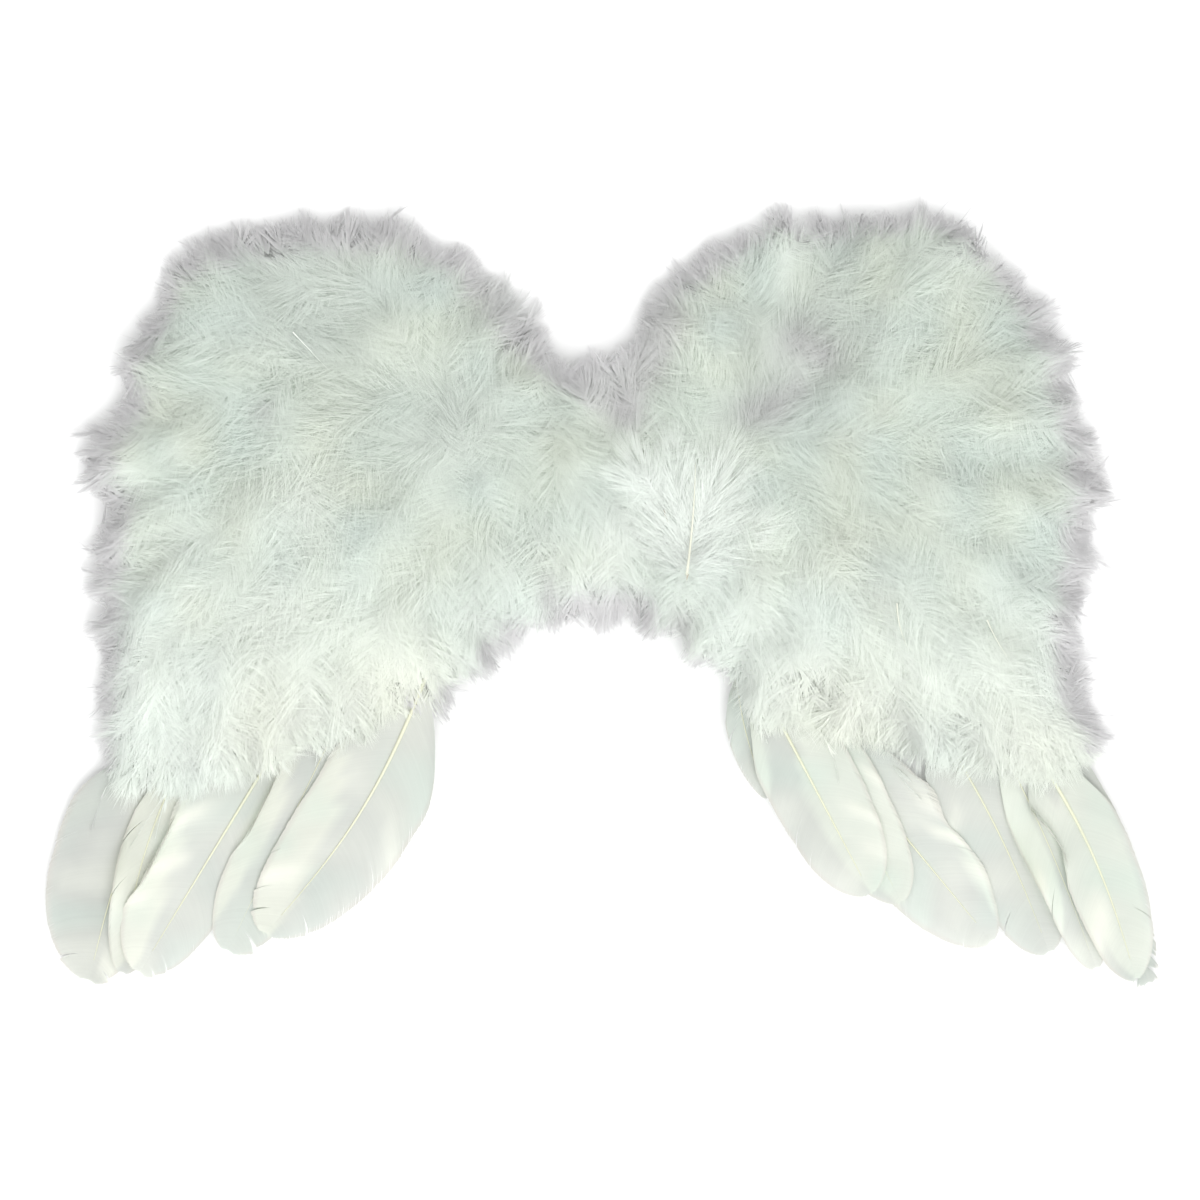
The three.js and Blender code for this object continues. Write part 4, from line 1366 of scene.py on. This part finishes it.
LOOSE = (
    Strand(-186, -124, -128, 46, 9),
    Strand(-193, -132, -110, 26, 12),
    Strand(-218, -122, -112, 34, 7),
    Strand(-128, -108, -80, 16, 14),
    Strand(70, -92, -82, 22, 9),
    Strand(96, -104, -52, 30, 9),
    Strand(132, -124, -60, 20, 12),
    Strand(-41, 77, 58, 15, 13),
    Strand(-46, 80, 72, 15, 13),
    Strand(-36, 71, 40, 14, 12),
    Strand(-33, 74, 62, 12, 12),
    Strand(216, -2, 52, 17, 10),
    Strand(214, -8, 8, 18, 10),
    Strand(214, -27, -20, 18, 10),
    Strand(212, -76, 2, 18, 9),
    Strand(213, -84, -12, 18, 9),
    Strand(214, -100, -10, 20, 9),
    Strand(214, -107, -14, 20, 9),
    Strand(158, 116, 48, 16, 9),
    Strand(150, 121, 58, 14, 9),
    Strand(-219, 25, 172, 18, 9),
    Strand(-218, 17, 186, 16, 9),
    Strand(-219, -30, 176, 18, 9),
    Strand(-218, -38, 188, 16, 9),
    Strand(-217, -88, 186, 18, 8),
    Strand(-215, -60, 178, 16, 8),
    Strand(-180, 104, 128, 14, 9),
    Strand(-96, 120, 55, 14, 9),
)


def calamus_plume():
    """The small plume above the short brown calamus."""
    return Plumes(
        x=np.array([27.5, 26.0]) * MM, y=np.array([-8.0, -5.0]) * MM, angle=np.radians([118, 140]),
        length=np.array([26, 20]) * MM, barb=np.array([19, 16]) * MM, lift=np.array([7, 6]) * MM,
        shade=np.array([1.0, 1.0]), spread=np.array([58, 58]),
    )


def loose_plumes():
    turn = np.radians([s.turn for s in LOOSE])
    places = (np.array([getattr(s, key) for s in LOOSE]) * MM for key in ("x", "y", "length", "barb"))
    x, y, length, barb = places
    ones = np.ones(len(LOOSE))
    return Plumes(x, y, turn, length, barb, 2 * MM * ones, 1.04 * ones, 16 * ones)


def left_of(plumes):
    return plumes.x < -LEFT_SEAM


def right_of(plumes):
    return plumes.x > RIGHT_SEAM


def centre_of(plumes):
    return ~left_of(plumes) & ~right_of(plumes)


def add_barbs(name, node, plumes, per_plume, rng, **look):
    """A piece of barbs that stands for a body of down."""
    ride_as(barbed_piece(name, plumes, per_plume, down_material, rng, **look), "down", node)


def build_down(rng):
    """The barbs, the fringe and the wisps of all the down, and the smooth bodies under them."""
    plumes = down_plumes(rng)
    upper = plumes.y >= SPLIT_Y
    regions = {
        "down_left_upper_barbs": (left_of(plumes) & upper, "down_left"),
        "down_left_lower_barbs": (left_of(plumes) & ~upper, "down_left"),
        "down_right_upper_barbs": (right_of(plumes) & upper, "down_right"),
        "down_right_lower_barbs": (right_of(plumes) & ~upper, "down_right"),
        "down_centre_barbs": (centre_of(plumes), "down_centre"),
    }
    for name, (mask, node) in regions.items():
        add_barbs(name, node, plumes.chosen(mask), PLUME_BARBS, rng)
    fringe = rim_plumes(rng, FRINGE_SPACING, 5 * MM, 15 * MM)
    below = rim_plumes(rng, UNDER_SPACING, 8 * MM, 28 * MM)
    cover = cover_plumes(rng)
    loose = loose_plumes()
    for node, here in (("down_left", left_of), ("down_right", right_of)):
        chosen = cover.chosen(here(cover))
        add_barbs(node + "_cover", node, chosen, COVER_BARBS, rng, draw=SOFT_DRAW)
        chosen = loose.chosen(here(loose))
        add_barbs(node + "_loose", node, chosen, LOOSE_BARBS, rng, thick=LOOSE_THICK, draw=LOOSE_DRAW)
    for node, here in (("down_left", left_of), ("down_right", right_of), ("down_centre", centre_of)):
        chosen = fringe.chosen(here(fringe))
        add_barbs(node + "_fringe", node, chosen, FRINGE_BARBS, rng, thick=FRINGE_THICK, draw=TUFTED_DRAW)
        chosen = below.chosen(here(below))
        add_barbs(node + "_under", node, chosen, UNDER_BARBS, rng, thick=UNDER_THICK, under=True)
    bright = {"brighten": PUFF_COLOUR, "draw": SOFT_DRAW}
    add_barbs("calamus_plume_barbs", "down_centre", calamus_plume(), CALAMUS_BARBS, rng, **bright)
    for node in DOWN_NODES:
        ride_as(body_piece(node + "_body", node, body_material), "down", node)


def build_shaft_plume(rng):
    """The bright plume: five fans of barbs at different turns, on one bare shaft."""
    low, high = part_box("shaft_plume")
    root = np.array(((low.x + high.x) / 2 - 4 * MM, low.y + 2 * MM))
    angle = math.radians(82)
    plumes = Plumes(
        x=np.array([root[0]]), y=np.array([root[1]]), angle=np.array([angle]), length=np.array([56 * MM]),
        barb=np.array([25 * MM]), lift=np.array([8 * MM]), shade=np.array([1.0]), spread=np.array([76.0]),
    )
    many = Plumes(*(np.repeat(getattr(plumes, key), 5) for key in plumes.__dataclass_fields__))
    many.lift = many.lift - np.arange(5) * MM
    many.angle = many.angle + np.radians(np.array((0, 14, -16, 32, -34)))
    many.length = many.length * np.array((1, 1, 1, 0.8, 0.75))
    bright = {"brighten": PUFF_COLOUR, "thick": BRIGHT_THICK, "draw": SOFT_DRAW}
    add_barbs("shaft_plume_barbs", "shaft_plume", many, BRIGHT_BARBS, rng, **bright)

    def line(share):
        reach = 50 * MM * share
        turn = angle + 0.06 * share
        return root + np.stack([reach * np.cos(turn), reach * np.sin(turn)], -1)

    def surface(places):
        return HEIGHT.at(places[..., 0], places[..., 1]) + 5.0 * MM

    points, quads, triangles = shaft_arrays(line, 1.2 * MM, surface)
    tones = np.tile(PALE_SHAFT, (len(points), 1))
    shaft = mesh_piece("shaft_plume_shaft", points, quads, triangles, tones, quill_material)
    ride_as(shaft, "down", "shaft_plume")


def build_fine_shafts():
    """The few bare shafts and the one short brown calamus that show in the down."""
    for name, root, tip, thick, tone in FINE_SHAFTS:
        root, tip = np.array(root) * MM, np.array(tip) * MM

        def line(share, root=root, tip=tip):
            bow = 0.06 * np.sin(np.pi * share)[..., None] * np.array((tip - root)[::-1])
            return root + share[..., None] * (tip - root) + bow

        def surface(places):
            return HEIGHT.at(places[..., 0], places[..., 1]) + 1.6 * MM

        points, quads, triangles = shaft_arrays(line, thick * MM, surface, 14)
        tones = np.tile(np.array(tone), (len(points), 1))
        node = "down_right" if root[0] > RIGHT_SEAM else "down_left"
        ride_as(mesh_piece(name, points, quads, triangles, tones, quill_material), "down", node)


def build_quills(rng):
    for quill in QUILLS:
        ride_as(quill_piece(quill, quill_material, rng), "quill", quill.node)


def add_stage():
    bpy.ops.mesh.primitive_plane_add(size=FLOOR_SIZE, location=(0, 0, FLOOR))
    floor = bpy.context.object
    floor.name = "floor"
    floor.data.materials.append(pale_material("pale floor", (0.95, 0.95, 0.95), 0.9))
    world = bpy.data.worlds.new("studio")
    bpy.context.scene.world = world
    world.use_nodes = True
    world.node_tree.nodes["Background"].inputs["Color"].default_value = (1, 1, 1, 1)
    world.node_tree.nodes["Background"].inputs["Strength"].default_value = 1.0
    sun = bpy.data.lights.new("soft key", "SUN")
    sun.energy = SUN_STRENGTH
    sun.angle = math.radians(SUN_SPREAD)
    lamp = bpy.data.objects.new("soft key", sun)
    lamp.rotation_euler = (math.radians(SUN_TURN[0]), math.radians(SUN_TURN[1]), 0)
    bpy.context.scene.collection.objects.link(lamp)


def add_camera():
    data = bpy.data.cameras.new("camera")
    data.sensor_width = SENSOR
    data.lens = SENSOR * (CAMERA_HEIGHT - CAMERA_FOCUS) / FRAME_WIDTH
    camera = bpy.data.objects.new("camera", data)
    camera.location = (*FRAME_CENTRE, CAMERA_HEIGHT)
    bpy.context.scene.collection.objects.link(camera)
    bpy.context.scene.camera = camera
    bpy.context.scene.view_settings.view_transform = "Standard"


generator = np.random.default_rng(SEED)
build_down(generator)
build_shaft_plume(generator)
build_fine_shafts()
build_quills(generator)
build_hidden_side(generator)
add_stage()
add_camera()
